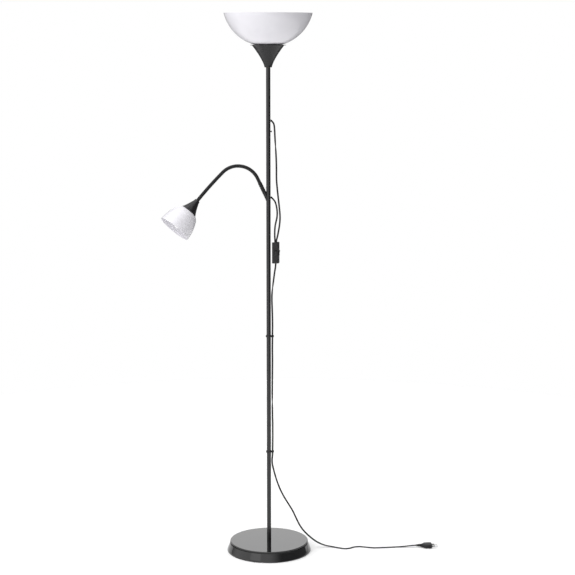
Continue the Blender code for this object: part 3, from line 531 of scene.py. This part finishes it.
class Look:
    """A procedural material under construction; its patterns are sized in metres."""

    def __init__(self, name, colour, roughness, metallic=0.0, **sockets):
        self.material = LOOKS[name] = bpy.data.materials.new(name)
        self.material.use_nodes = True
        self.tree = self.material.node_tree
        self.shader = self.tree.nodes["Principled BSDF"]
        self.set("Base Color", (*colour, 1.0))
        self.set("Roughness", roughness)
        self.set("Metallic", metallic)
        for socket, value in sockets.items():
            self.set(socket.replace("_", " "), value)
        self.place = self.node("ShaderNodeTexCoord").outputs["Object"]
        self.height = None

    def set(self, socket, value):
        self.shader.inputs[socket].default_value = value

    def node(self, kind, **values):
        item = self.tree.nodes.new(kind)
        for name, value in values.items():
            if name in item.inputs:
                item.inputs[name].default_value = value
            else:
                setattr(item, name, value)
        return item

    def link(self, output, target):
        self.tree.links.new(output, target)

    def noise(self, size, detail, stretch=(1.0, 1.0, 1.0)):
        """Noise with features about that many metres across, from 0 to 1."""
        space = self.node("ShaderNodeMapping", Scale=stretch)
        self.link(self.place, space.inputs["Vector"])
        item = self.node("ShaderNodeTexNoise", Scale=1.0 / size, Detail=detail)
        self.link(space.outputs["Vector"], item.inputs["Vector"])
        return item.outputs["Fac"]

    def ramp(self, pattern, low, high, start, end):
        """Maps a noise pattern's values from start to end to a range of numbers."""
        item = self.node("ShaderNodeMapRange", clamp=True)
        set_range(item, start, end, low, high)
        self.link(self.noise(*pattern), item.inputs["Value"])
        return item.outputs["Result"]

    def mottle(self, pattern, first, second, start=0.35, end=0.65):
        """Lets the colour drift between two tones along a noise pattern."""
        item = self.node("ShaderNodeMix", data_type="RGBA")
        item.inputs[6].default_value = (*first, 1.0)
        item.inputs[7].default_value = (*second, 1.0)
        self.link(self.ramp(pattern, 0.0, 1.0, start, end), item.inputs[0])
        self.link(item.outputs[2], self.shader.inputs["Base Color"])
        return self

    def polish(self, pattern, low, high, start=0.35, end=0.65):
        """Lets the roughness drift along a noise pattern."""
        self.link(self.ramp(pattern, low, high, start, end), self.shader.inputs["Roughness"])
        return self

    def bump(self, pattern, depth):
        """Raises the surface along a noise pattern by up to that many metres."""
        item = self.node("ShaderNodeBump", Strength=1.0, Distance=depth)
        self.link(self.noise(*pattern), item.inputs["Height"])
        if self.height is not None:
            self.link(self.height, item.inputs["Normal"])
        self.height = item.outputs["Normal"]
        self.link(self.height, self.shader.inputs["Normal"])
        return self


def powder_coat():
    """Satin powder coat on steel tube: orange peel and a few duller patches."""
    look = Look("powder_coat", (0.006, 0.006, 0.007), 0.24, Coat_Weight=0.2, Coat_Roughness=0.14)
    look.mottle((0.03, 2.0), (0.005, 0.005, 0.006), (0.008, 0.008, 0.009))
    look.polish((0.012, 3.0), 0.2, 0.27)
    return look.bump((0.0011, 2.0), 0.00002).bump((0.00035, 1.0), 0.00001)


def gloss_plastic():
    """High-gloss moulding: slow waves in the surface and a trace of dust and hairlines."""
    look = Look("gloss_plastic", (0.006, 0.006, 0.0065), 0.07, Specular_IOR_Level=0.62)
    look.mottle((0.0007, 1.0), (0.006, 0.006, 0.0065), (0.02, 0.02, 0.021), 0.68, 0.8)
    look.polish((0.006, 4.0), 0.055, 0.12, 0.4, 0.75)
    return look.bump((0.035, 1.0), 0.00006)


def satin_plastic():
    """Fine spark-eroded moulding, a little shinier where it has been touched."""
    look = Look("satin_plastic", (0.01, 0.01, 0.011), 0.3, Specular_IOR_Level=0.42)
    look.mottle((0.01, 3.0), (0.008, 0.008, 0.009), (0.013, 0.013, 0.014))
    look.polish((0.008, 3.0), 0.26, 0.34)
    return look.bump((0.00045, 2.0), 0.00003)


def white_plastic():
    """Opal moulding with a smooth gloss and faint clouds in its white."""
    look = Look("white_plastic", (0.78, 0.77, 0.81), 0.24, Coat_Weight=0.15, Coat_Roughness=0.12)
    look.mottle((0.045, 2.0), (0.77, 0.758, 0.802), (0.79, 0.778, 0.82))
    look.polish((0.01, 3.0), 0.15, 0.22)
    return look.bump((0.025, 1.0), 0.00005)


def opal_glass():
    """Bulb glass with a powdery white coat inside."""
    look = Look("opal_glass", (0.9, 0.9, 0.88), 0.22, Coat_Weight=0.8, Coat_Roughness=0.03)
    look.mottle((0.014, 3.0), (0.88, 0.88, 0.86), (0.93, 0.93, 0.92))
    return look.polish((0.002, 2.0), 0.2, 0.28)


def rubber():
    """Extruded sheath: faint streaks and handling marks."""
    look = Look("rubber", (0.007, 0.007, 0.008), 0.5, Specular_IOR_Level=0.32)
    look.mottle((0.006, 3.0), (0.005, 0.005, 0.006), (0.01, 0.01, 0.011))
    look.polish((0.004, 3.0), 0.44, 0.56)
    return look.bump((0.0006, 2.0), 0.00003)


def gooseneck_sleeve():
    """Soft PVC sleeve over a spring, with dull grooves."""
    look = Look("gooseneck", (0.007, 0.007, 0.008), 0.46, Specular_IOR_Level=0.3)
    look.mottle((0.008, 3.0), (0.005, 0.005, 0.006), (0.01, 0.01, 0.011))
    look.polish((0.003, 3.0), 0.4, 0.52)
    return look.bump((0.0005, 2.0), 0.00002)


def zinc_steel():
    """Bright zinc plate with drawn lines and cloudy spangle."""
    look = Look("zinc_steel", (0.62, 0.62, 0.61), 0.3, 1.0)
    look.mottle((0.004, 3.0), (0.52, 0.53, 0.54), (0.7, 0.7, 0.68))
    look.polish((0.0015, 3.0), 0.22, 0.4)
    return look.bump((0.0004, 2.0, (1.0, 1.0, 12.0)), 0.00001)


def brass():
    """Turned brass with a light tarnish."""
    look = Look("brass", (0.74, 0.56, 0.29), 0.3, 1.0)
    look.mottle((0.003, 3.0), (0.55, 0.38, 0.17), (0.8, 0.62, 0.34))
    look.polish((0.0012, 3.0), 0.22, 0.42)
    return look.bump((0.0004, 2.0, (1.0, 1.0, 14.0)), 0.00001)


def iron():
    """Sand-cast iron: coarse skin and rusty bloom."""
    look = Look("iron", (0.09, 0.09, 0.09), 0.75, 0.6)
    look.mottle((0.012, 4.0), (0.07, 0.07, 0.072), (0.13, 0.1, 0.085), 0.45, 0.7)
    look.polish((0.002, 3.0), 0.62, 0.88)
    return look.bump((0.0016, 4.0), 0.0003).bump((0.012, 2.0), 0.0004)


def felt():
    """Pressed felt: matted fibres in two greys."""
    look = Look("felt", (0.1, 0.1, 0.1), 0.95, Sheen_Weight=0.35, Sheen_Roughness=0.6)
    look.mottle((0.0012, 4.0), (0.06, 0.06, 0.062), (0.16, 0.16, 0.155))
    return look.bump((0.0006, 4.0, (1.0, 0.35, 1.0)), 0.0003).bump((0.004, 2.0), 0.0002)


def add_looks():
    plastics = (gloss_plastic, satin_plastic, white_plastic, rubber, gooseneck_sleeve)
    for make in plastics + (powder_coat, opal_glass, zinc_steel, brass, iron, felt):
        make()


def dress_frame():
    """Gives each CAD node the look of its slot in the record; most are replaced later."""
    for part in frame["record"]["subparts"]:
        data = frame["nodes"][part["node"]].data
        data.materials.clear()
        data.materials.append(LOOKS[part["material_slot"]])


# ---------------------------------------- base and pole


def add_base():
    """Cover with a bright rim over a crease and a flared skirt, and the felt pad under it."""
    low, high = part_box("base_cover")
    foot, top = low.z, high.z
    wide = high.x
    rim = wide - 0.0098
    stud = 0.0043
    outline = [
        (stud, top), (rim, top, 0.002), (rim + 0.0002, top - 0.0034, 0.0006),
        (rim - 0.003, top - 0.004, 0.0004), (rim - 0.0028, top - 0.006, 0.0004),
        (rim + 0.0008, top - 0.0062, 0.0008), (rim + 0.0054, top - 0.019, 0.006),
        (wide - 0.0006, foot + 0.0034, 0.0024), (wide, foot, 0.0005), (wide - 0.0018, foot),
        (rim + 0.0036, top - 0.019), (rim - 0.0048, top - 0.008),
        (rim - 0.0056, top - 0.0018), (stud, top - 0.0018),
    ]
    turned("base_cover", "_moulding", outline, 160, "gloss_plastic", corner=5)
    low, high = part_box("base_pad")
    outline = [(0.0, high.z), (high.x, high.z, 0.0006), (high.x, low.z, 0.0008), (0.0, low.z)]
    turned("base_pad", "_felt", outline, 160, "felt")


def add_pole():
    """Sections of tube with broken edges, so that each joint shows as a fine line."""
    for number in (1, 2, 3, 4):
        node = f"pole_section_{number}"
        low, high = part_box(node)
        bore, radius = high.x - 0.001, high.x
        outline = [(bore, high.z), (radius, high.z, 0.0006), (radius, low.z, 0.0006), (bore, low.z)]
        turned(node, "_tube", outline, 64, "powder_coat")


def arc(centre, radius, start, end, steps):
    """Points on a circle from one angle to another, in degrees."""
    points = []
    for k in range(steps + 1):
        angle = math.radians(start + (end - start) * k / steps)
        points.append((centre[0] + radius * math.cos(angle), centre[1] + radius * math.sin(angle)))
    return points


def add_clips():
    """Spring clips round the pole, each with an open eye for the mains lead."""
    ring_r, eye_r, eye_x = 0.0094, 0.0047, CLIP_LEAD_X
    bore, eye_bore, mouth = 0.0073, 0.003, 0.0034
    cross = (eye_x**2 + ring_r**2 - eye_r**2) / (2 * eye_x)
    high = math.sqrt(ring_r**2 - cross**2)
    on_ring = math.degrees(math.atan2(high, cross))
    on_eye = math.degrees(math.atan2(high, cross - eye_x))
    outer = math.degrees(math.asin(mouth / 2 / eye_r))
    inner = math.degrees(math.asin(mouth / 2 / eye_bore))
    eye = (eye_x, 0.0)
    outline = arc((0, 0), ring_r, on_ring, 360 - on_ring, 60)
    outline += arc(eye, eye_r, 360 - on_eye, 270 - outer, 8)
    outline += arc(eye, eye_bore, 270 - inner, -90 + inner, 28)
    outline += arc(eye, eye_r, -90 + outer, on_eye, 24)
    hole = arc((0, 0), bore, 0, 351, 39)
    for name in ("lead_clip_lower", "lead_clip_middle"):
        low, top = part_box(name)
        placed = Matrix.Translation((0, 0, (low.z + top.z) / 2))
        clip = plate(name + "_moulding", (outline, hole), top.z - low.z, 0.0007, placed)
        finish_piece(clip, "satin_plastic", "stand", name)


def add_cord_hook():
    """A small headed peg under the upper exit."""
    placed = Matrix.Translation((0, 0, HOOK_Z)) @ spin(HOOK_TURN, "Z") @ spin(90, "Y")
    outline = [
        (0.0, 0.0116), (0.0028, 0.0116, 0.0012), (0.0029, 0.01, 0.0006),
        (0.0019, 0.0093, 0.0005), (0.0018, 0.008, 0.0004), (0.0028, 0.0071),
        (0.0028, 0.0064), (0.0, 0.006),
    ]
    turned("cord_hook", "_peg", outline, 40, "satin_plastic", matrix=placed)


def add_grommets():
    """Bushes in the pole's wall, with a ribbed nose that turns each lead down."""
    for name, height in (("upper_grommet", UPPER_EXIT_Z), ("reading_grommet", READING_EXIT_Z)):
        sideways = Matrix.Translation((0, 0, height)) @ spin(90, "Y")
        flange = [(0.0, 0.0074), (0.0041, 0.0074), (0.0041, 0.0084, 0.0008), (0.0, 0.0087)]
        bush = lathe(name + "_bush", flange, 40, sideways)
        nose = [(0.0, 0.0), (0.0036, 0.0, 0.0006)]
        for k in range(3):
            start = 0.0016 + 0.0016 * k
            radius = 0.0035 - 0.00025 * k
            nose += [(radius, start, 0.0003), (radius - 0.0005, start + 0.0003, 0.0002)]
            nose += [(radius - 0.0005, start + 0.0008, 0.0002), (radius - 0.0001, start + 0.0011, 0.0003)]
        nose += [(0.0027, 0.0063, 0.0005), (0.0, 0.0063)]
        placed = Matrix.Translation((0.0082, 0, height + 0.0005)) @ spin(135, "Y")
        tip = lathe(name + "_nose", nose, 40, placed, corner=3)
        cut(bush, tip, operation="UNION")
        finish_piece(bush, "rubber", "stand", name)


# ---------------------------------------- uplighter


def add_bowl():
    """A shallow turned bowl of even wall, whose side is one arc down to a flat floor."""
    low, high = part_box("bowl_shade")
    wall = 0.002
    hole = 0.0205

    def side(offset, floor):
        radius = BOWL_ARC_R - offset
        start = math.degrees(math.asin((BOWL_ARC_Z - high.z) / radius))
        end = math.degrees(math.asin((BOWL_ARC_Z - floor) / radius))
        return arc((BOWL_ARC_X, BOWL_ARC_Z), radius, -start, -end, 44)

    outside = side(0.0, low.z)
    outside[-1] += (0.005,)
    outside[0] += (0.0007,)
    inside = side(wall, low.z + wall)[::-1]
    inside[0] += (0.004,)
    inside[-1] += (0.0007,)
    outline = outside + [(hole, low.z), (hole, low.z + wall)] + inside
    turned("bowl_shade", "_moulding", outline, 160, "white_plastic", corner=5)


def add_upper_cup():
    """A trumpet with a thin lip, drawn in to the pole."""
    low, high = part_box("upper_cup")
    neck, mouth, lip = 0.012, 0.0513, high.x
    lip_h, wall, power, steps = 0.0016, 0.0018, 1.36, 36
    top = high.z - lip_h

    def flare(offset, foot):
        rows = []
        for k in range(steps + 1):
            t = k / steps
            rows.append((neck + (mouth - neck) * (1 - t) ** power - offset, top + (foot - top) * t))
        return rows

    outline = [(mouth - wall, high.z), (lip, high.z, 0.0006), (lip, top, 0.0006)]
    outline += flare(0.0, low.z + 0.0012)
    outline += [(neck - 0.0006, low.z, 0.0006), (0.0058, low.z), (0.0058, low.z + 0.004)]
    outline += flare(wall, low.z + 0.004)[::-1]
    turned("upper_cup", "_moulding", outline, 128, "satin_plastic", corner=3)


def bulb_outline(seat, crown, radius, neck):
    """A pear bulb: a ball that is drawn in to its collar. Crown may be above or below seat."""
    way = 1.0 if crown > seat else -1.0
    centre = crown - way * radius
    rows = []
    for k in range(29):
        angle = math.radians(112 * k / 28)
        rows.append((radius * math.sin(angle), centre + way * radius * math.cos(angle)))
    rows += [
        (neck + 0.0022, seat + way * 0.015, 0.008), (neck, seat + way * 0.006, 0.005),
        (neck - 0.0004, seat, 0.0006), (0.0, seat),
    ]
    return rounded(rows, closed=False, steps=6)


def grip(count, depth, low, high, bore):
    """A ripple of flutes between two heights, kept off the ring's bore."""

    def ripple(radius, height, angle):
        if low < height < high and radius > bore + 0.001:
            return radius - depth * (0.5 - 0.5 * math.cos(count * angle))
        return radius

    return ripple


def add_upper_lamp():
    """Lampholder, fluted clamping ring and bulb inside the bowl."""
    low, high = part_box("upper_lampholder")
    wide, mouth = high.x, 0.014
    body = [
        (mouth, high.z, 0.0006), (wide, high.z, 0.001), (wide, low.z + 0.006, 0.002),
        (wide - 0.005, low.z, 0.001), (0.0058, low.z), (0.0058, low.z + 0.004),
        (mouth, low.z + 0.012, 0.001),
    ]
    turned("upper_lampholder", "_body", body, 96, "satin_plastic")
    low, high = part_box("bowl_ring")
    bore = wide + 0.0004
    ring = [
        (bore, high.z, 0.0004), (0.0235, high.z, 0.0012), (0.024, low.z + 0.0022, 0.0006),
        (high.x, low.z + 0.0018, 0.0006), (high.x, low.z, 0.0004), (bore, low.z),
    ]
    flutes = grip(36, 0.0006, low.z + 0.0026, high.z - 0.0006, bore)
    outline = dense(rounded(ring), 0.0012)
    turned("bowl_ring", "_nut", outline, 216, "satin_plastic", ripple=flutes)
    low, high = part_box("upper_bulb")
    outline = bulb_outline(low.z, high.z, high.x, 0.0136)
    turned("upper_bulb", "_glass", outline, 96, "opal_glass")


def dense(outline, spacing):
    """An outline with its long straight runs divided."""
    points = []
    for here, there in zip(outline, outline[1:] + outline[:1]):
        here, there = Vector(here[:2]), Vector(there[:2])
        count = max(1, math.ceil((there - here).length / spacing))
        points += [here.lerp(there, k / count) for k in range(count)]
    return points


# ---------------------------------------- gooseneck


def arm_heading(s):
    """Direction of the centre line at distance s from the pole's axis."""
    bend_start, bend_end = ARM_BEND
    if s < bend_start:
        lean = ARM_LEAN
    elif s < bend_end:
        lean = ARM_LEAN + (ARM_LEAN_BENT - ARM_LEAN) * (s - bend_start) / (bend_end - bend_start)
    else:
        rest = (s - bend_end) / (ARM_END - bend_end)
        lean = ARM_LEAN_BENT + (ARM_LEAN_END - ARM_LEAN_BENT) * rest
    swing_start, swing_end = ARM_SWING
    forward = min(1.0, max(0.0, (s - swing_start) / (swing_end - swing_start)))
    lean, swing = math.radians(lean), math.radians(ARM_SWING_END) * forward
    level = math.cos(swing)
    return Vector((-math.sin(lean) * level, -math.sin(swing), math.cos(lean) * level))


def arm_points():
    here = ARM_ROOT.copy()
    points = [here.copy()]
    for step in range(round(ARM_END / ARM_STEP) + 1):
        here = here + arm_heading((step + 0.5) * ARM_STEP) * ARM_STEP
        points.append(here.copy())
    return points


def ribbed(start, end, radius):
    """Open outline of a sleeve with soft ribs between two distances, top to bottom."""
    rows = [(0.0, end), (radius - 0.0002, end, 0.0006)]
    at = end - 0.0012
    while at - RIB_PITCH > start + 0.001:
        rows += [
            (radius, at - RIB_PITCH + 0.0026, 0.0007),
            (radius - 0.0009, at - RIB_PITCH + 0.0019, 0.0005),
            (radius - 0.0009, at - RIB_PITCH + 0.0007, 0.0005),
            (radius, at - RIB_PITCH, 0.0007),
        ]
        at -= RIB_PITCH
    return rows + [(radius, start, 0.0005), (0.0, start)]


def add_arm_mount():
    """Ribbed socket and sleeve that lean out of the pole, and the screw above them."""
    placed = facing(ARM_ROOT, arm_heading(0.0))
    outline = ribbed(-0.006, SOCKET_END, SLEEVE_R)
    socket = lathe("arm_socket_moulding", outline, 56, placed)
    low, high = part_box("arm_socket")
    pole = rod("pole_guard", POLE_GUARD_R, (0, 0, low.z - 0.04), (0, 0, high.z + 0.04), 96)
    behind = box("behind_guard", (0, -0.02, low.z - 0.03), (0.04, 0.02, high.z + 0.03))
    cut(socket, pole, behind)
    finish_piece(socket, "satin_plastic", "stand", "arm_socket")
    outline = ribbed(SOCKET_END + GAP, SLEEVE_END, SLEEVE_R)
    turned("arm_sleeve", "_moulding", outline, 56, "rubber", matrix=placed)
    low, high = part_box("arm_screw")
    sideways = Matrix.Translation((0, 0, (low.z + high.z) / 2)) @ spin(-90, "Y")
    head = [(0.0, -low.x), (0.0013, -low.x, 0.0006), (0.0019, 0.0079, 0.0005)]
    head += [(0.0019, 0.0071), (0.0, 0.0071)]
    screw = lathe("arm_screw_head", head, 40, sideways)
    for turn in (45, 135):
        across = sideways @ spin(turn, "Z")
        slot = box("driver_slot", (-0.0012, -0.0002, 0.0084), (0.0012, 0.0002, 0.01), across)
        cut(screw, slot)
    finish_piece(screw, "zinc_steel", "stand", "arm_screw")


def neck_radius(step):
    """Fine ribs of the gooseneck's sleeve: one groove in each four steps of the line."""
    return ARM_R - (NECK_GROOVE if step % 4 == 2 else 0.0)


def add_gooseneck():
    """One sleeve in stretches, each from mid-link to mid-link across one hinge."""
    line = arm_points()
    frames = carried(line, (0, 1, 0))
    circle = arc((0, 0), 1.0, 0, 345, 23)
    for number in range(1, LINKS + 1):
        hinge = SLEEVE_END + LINK_LENGTH * (number - 1)
        start = hinge - (FIRST_START if number == 1 else LINK_LENGTH / 2)
        end = ARM_END if number == LINKS else hinge + LINK_LENGTH / 2
        first, last = round(start / ARM_STEP), round(end / ARM_STEP)

        def section(i, first=first):
            radius = neck_radius(first + i)
            return [(x * radius, y * radius) for x, y in circle]

        piece = sweep(
            f"gooseneck_sleeve_{number}", line[first : last + 1], frames[first : last + 1], section
        )
        piece.data.materials.append(LOOKS["gooseneck"])
        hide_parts(f"gooseneck_{number}")
        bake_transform(piece)


# ---------------------------------------- reading lamp


def add_reading_lamp():
    """The cup, shade, lampholder, fluted ring and bulb, in a frame whose -Z leaves the shade."""
    neck = arm_points()[round(ARM_END / ARM_STEP)]
    place = {"body": "reading_lamp", "matrix": facing(neck, -arm_heading(ARM_END))}
    outside = fair(READING_CUP, 30)
    wall = 0.0018
    inner = [(r - wall, z) for r, z in outside if z < -0.0044]
    outline = [(0.0053, 0.0), (READING_CUP[0][0] - 0.0006, 0.0, 0.0005)] + outside
    outline += inner[::-1] + [(0.0053, -0.0036)]
    turned("reading_cup", "_moulding", outline, 96, "satin_plastic", corner=3, **place)

    top, hole, wall = READING_SHADE[0][1], 0.0142, 0.002
    outside = fair(READING_SHADE, 44)
    outside[-1] += (0.0007,)
    inside = inset(outside, wall)[::-1]
    inside[0] = (outside[-1][0] - wall, outside[-1][1], 0.0007)
    inside = [inside[0]] + [p for p in inside[1:] if READING_SHADE[-1][1] + 0.001 < p[1] < top - wall]
    outline = [(hole, top), (READING_SHADE[0][0] - 0.0024, top, 0.0016)] + outside + inside
    outline += [(hole, top - wall)]
    turned("reading_shade", "_moulding", outline, 128, "white_plastic", **place)

    holder_r, holder_top, holder_end = 0.0135, -0.0245, -0.0585
    outline = [
        (0.0053, holder_top), (holder_r - 0.003, holder_top, 0.001),
        (holder_r, holder_top - 0.005, 0.002), (holder_r, holder_end, 0.0008),
        (0.008, holder_end, 0.0006), (0.008, holder_top - 0.01),
        (0.0053, holder_top - 0.006),
    ]
    turned("reading_lampholder", "_body", outline, 64, "satin_plastic", **place)
    ring_top = top - wall - GAP
    ring_end = ring_top - 0.006
    bore = holder_r + 0.0004
    outline = [
        (bore, ring_top), (0.021, ring_top, 0.0005), (0.021, ring_top - 0.0014, 0.0005),
        (0.0172, ring_top - 0.0022, 0.0006), (0.0165, ring_end, 0.0008),
        (bore, ring_end, 0.0003),
    ]
    flutes = grip(28, 0.0005, ring_end + 0.0004, ring_top - 0.0024, bore)
    outline = dense(rounded(outline), 0.001)
    turned("shade_ring", "_nut", outline, 168, "satin_plastic", ripple=flutes, **place)
    outline = bulb_outline(holder_end - 0.0013, -0.111, 0.022, 0.008)
    turned("reading_bulb", "_glass", outline, 80, "opal_glass", **place)


# ---------------------------------------- switch


def switch_frame():
    """Frame at the switch's centre: X across it, -Y out of its front, Z up."""
    return Matrix.Translation(SWITCH_AT) @ spin(SWITCH_TURN, "Z")


def rocker_seat(side):
    """Frame on one slope of the switch's ridge: X across it, -Y out of it."""
    mid = SWITCH_W / 4
    height = -SWITCH_T / 2 + mid * math.tan(math.radians(SWITCH_ROOF))
    placed = switch_frame() @ Matrix.Translation((side * mid, height, 0))
    return placed @ spin(side * SWITCH_ROOF, "Z")


def rocker_outline(half):
    """Side view of a rocker as (along, out of the front): a shallow V with ribbed ends."""
    rows = [(-half, -0.0002, 0.0004), (-half, -0.0028, 0.0009)]
    for sign in (-1, 1):
        ribs = [(0.007, 0.00262), (0.0062, 0.0023), (0.0056, 0.0024), (0.0048, 0.0021)]
        points = []
        for along, out in ribs:
            points += [
                (sign * (along + 0.0003), -out, 0.0001),
                (sign * along, -out - 0.00025, 0.0001),
                (sign * (along - 0.0003), -out + 0.00012, 0.0001),
            ]
        rows += points if sign < 0 else points[::-1]
        if sign < 0:
            rows.append((0.0, -0.0016, 0.002))
    return rows + [(half, -0.0028, 0.0009), (half, -0.0002, 0.0004), (0.0035, 0.0026), (-0.0035, 0.0026)]


def add_switch():
    """Two hollow halves, the front with a ridge and a rocker on each slope of it."""
    placed = switch_frame()
    half, back = SWITCH_W / 2, SWITCH_T / 2
    slope = math.tan(math.radians(SWITCH_ROOF))
    shoulder = half * slope - back
    split = 0.0028
    front = [
        (-half, split, 0.0003), (-half, shoulder, 0.0018), (0.0, -back, 0.0016),
        (half, shoulder, 0.0018), (half, split, 0.0003),
    ]
    shell = plate("switch_front_moulding", [rounded(front, steps=5)], SWITCH_L, 0.0011, placed)
    wall = 0.0016
    hollow = [
        (-half + wall, split + 0.004), (-half + wall, shoulder + wall * 1.2),
        (0.0, -back + wall * 1.2), (half - wall, shoulder + wall * 1.2),
        (half - wall, split + 0.004),
    ]
    cutters = [plate("front_core", [hollow], SWITCH_L - 2 * wall, 0.0001, placed)]
    window = Vector((0.0039, 0.004, 0.009))
    for side in (-1, 1):
        cutters.append(box("rocker_window", -window, window, rocker_seat(side)))
    cut(shell, *cutters)
    finish_piece(shell, "satin_plastic", "stand", "switch_front")

    rear = [
        (-half, back, 0.0018), (-half, split + GAP, 0.0003), (half, split + GAP, 0.0003),
        (half, back, 0.0018),
    ]
    tray = plate("switch_back_moulding", [rounded(rear, steps=5)], SWITCH_L, 0.0011, placed)
    wide, tall = half - wall, SWITCH_L / 2 - wall
    core = box("back_core", (-wide, 0.0, -tall), (wide, back - wall, tall), placed)
    screw_z = SWITCH_L / 2 - 0.01
    hole = rod("screw_hole", 0.0016, (0, 0, screw_z), (0, 0.02, screw_z), 32, placed)
    cut(tray, core, hole)
    finish_piece(tray, "satin_plastic", "stand", "switch_back")

    turn = spin(ROCKER_TILT, "X") @ spin(-90, "Y")
    outline = [(z, y - ROCKER_PIVOT) for z, y in rounded(rocker_outline(0.0083), steps=2)]
    for name, side in (("rocker_reading", -1), ("rocker_upper", 1)):
        held = rocker_seat(side) @ Matrix.Translation((0, ROCKER_PIVOT, 0)) @ turn
        rocker = plate(name + "_cap", [outline], 0.007, 0.00035, held)
        finish_piece(rocker, "satin_plastic", name + "_body", name)


# ---------------------------------------- leads and plug


def ease(s, start, end):
    """0 before start, 1 after end, and a smooth rise between."""
    t = min(1.0, max(0.0, (s - start) / (end - start)))
    return t * t * (3 - 2 * t)


def turns(first, *stretches):
    """The flex's twist in degrees: some turn more over each stretch of its length."""
    return lambda s: first + sum(turn * ease(s, start, end) for start, end, turn in stretches)


def flex_outline():
    """Two cores side by side with a shallow valley between them."""
    core = FLEX_T / 2
    offset = FLEX_W / 2 - core
    return arc((offset, 0), core, -125, 125, 12) + arc((-offset, 0), core, 55, 305, 12)


def add_lead(node, route, twist):
    """A twin flex along the route. Returns the piece and the points that it follows.

    twist(s) is how far it has turned at distance s, in degrees from edge-on to the front.
    """
    path = smooth_route(route, ROUTE_STEP)
    frames = []
    travelled = 0.0
    for i, (side, up) in enumerate(carried(path, (0, 1, 0))):
        travelled += (path[i] - path[i - 1]).length if i else 0.0
        turn = math.radians(twist(travelled))
        across = side * math.cos(turn) + up * math.sin(turn)
        frames.append((across, up * math.cos(turn) - side * math.sin(turn)))
    outline = flex_outline()
    piece = sweep(node + "_flex", path, frames, lambda i: outline)
    finish_piece(piece, "rubber", "stand", node)
    return piece, path


def superellipse(half_w, half_t, power, steps):
    """A closed outline that turns from an ellipse into a box as its power grows from 2."""
    points = []
    for k in range(steps):
        angle = 2 * math.pi * k / steps
        c, s = math.cos(angle), math.sin(angle)
        x = half_w * math.copysign(abs(c) ** (2 / power), c)
        points.append((x, half_t * math.copysign(abs(s) ** (2 / power), s)))
    return points


def add_plug():
    """Flat moulded plug: a ribbed strain relief that widens into a grip, and two pins."""
    start = Vector(MAINS_ROUTE[-1]) + Vector((GAP, 0, 0))
    relief, face = 0.02, 0.054
    stations = []
    for k in range(9):
        x = relief * k / 9
        radius = 0.0029 + 0.0026 * k / 9
        for along, drop in ((0.0, 0.0), (0.0011, 0.0), (0.0013, 0.0007), (0.002, 0.0007)):
            stations.append((x + along, radius - drop, radius - drop, 2.0))
    shape = (
        (0.02, 0.006, 0.0052, 2.2), (0.0225, 0.0084, 0.0056, 2.6),
        (0.026, 0.0122, 0.0061, 3.0), (0.03, 0.0156, 0.0064, 3.6),
        (0.034, 0.0171, 0.0064, 4.0), (0.038, 0.0175, 0.0064, 4.0),
        (0.047, 0.0174, 0.0064, 4.2), (0.0505, 0.0168, 0.0064, 4.4),
        (0.0528, 0.0152, 0.0062, 4.6), (0.0538, 0.0142, 0.0058, 4.6),
        (face, 0.0134, 0.0053, 4.6),
    )
    stations += shape
    sections = []
    for x, half_w, half_t, power in stations:
        outline = superellipse(half_w, half_t, power, 48)
        sections.append([start + Vector((x, a, b)) for a, b in outline])
    body = loft("plug_body_moulding", sections)
    for side in (-1, 1):
        for k in range(4):
            x = 0.037 + 0.0026 * k
            groove = box(
                "grip_groove",
                start + Vector((x, -0.009, side * 0.0064 - 0.0005)),
                start + Vector((x + 0.0012, 0.009, side * 0.0064 + 0.0005)),
            )
            cut(body, groove)
    finish_piece(body, "rubber", "stand", "plug_body")
    pieces = [body]
    for number in (1, 2):
        node = f"plug_pin_{number}"
        low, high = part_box(node)
        axis = Matrix.Translation((low.x, (low.y + high.y) / 2, (low.z + high.z) / 2))
        axis = axis @ spin(90, "Y")
        length = high.x - low.x
        outline = [(0.0, 0.0), (0.0018, 0.0), (0.0018, 0.01), (0.002, 0.0102, 0.0001)]
        outline += [(0.002, length, 0.0012), (0.0, length)]
        pin = turned(node, "_metal", outline, 32, "zinc_steel", matrix=axis)
        outline = [(0.0, -0.0002), (0.0019, -0.0002), (0.0019, 0.0096, 0.0003), (0.0, 0.0096)]
        sleeve = lathe(node + "_sleeve", outline, 32, axis)
        finish_piece(sleeve, "satin_plastic", "stand")
        pieces += [pin, sleeve]
    return pieces


def add_leads():
    """The three leads and the plug."""
    upper, upper_path = add_lead("upper_lead", UPPER_ROUTE, turns(90, (0.05, 0.11, 180)))
    reading, reading_path = add_lead("reading_lead", READING_ROUTE, turns(60, (0.02, 0.1, 45)))
    mains_turns = turns(90, (0.05, 0.11, 180), (0.42, 0.5, -180), (0.955, 1.03, -90))
    mains, mains_path = add_lead("mains_lead", MAINS_ROUTE, mains_turns)
    plug = add_plug()


add_looks()
dress_frame()
add_base()
add_pole()
add_clips()
add_cord_hook()
add_grommets()
add_bowl()
add_upper_cup()
add_upper_lamp()
add_arm_mount()
add_gooseneck()
add_reading_lamp()
add_switch()
add_leads()
add_camera()
add_floor()
add_light()
add_key_light()
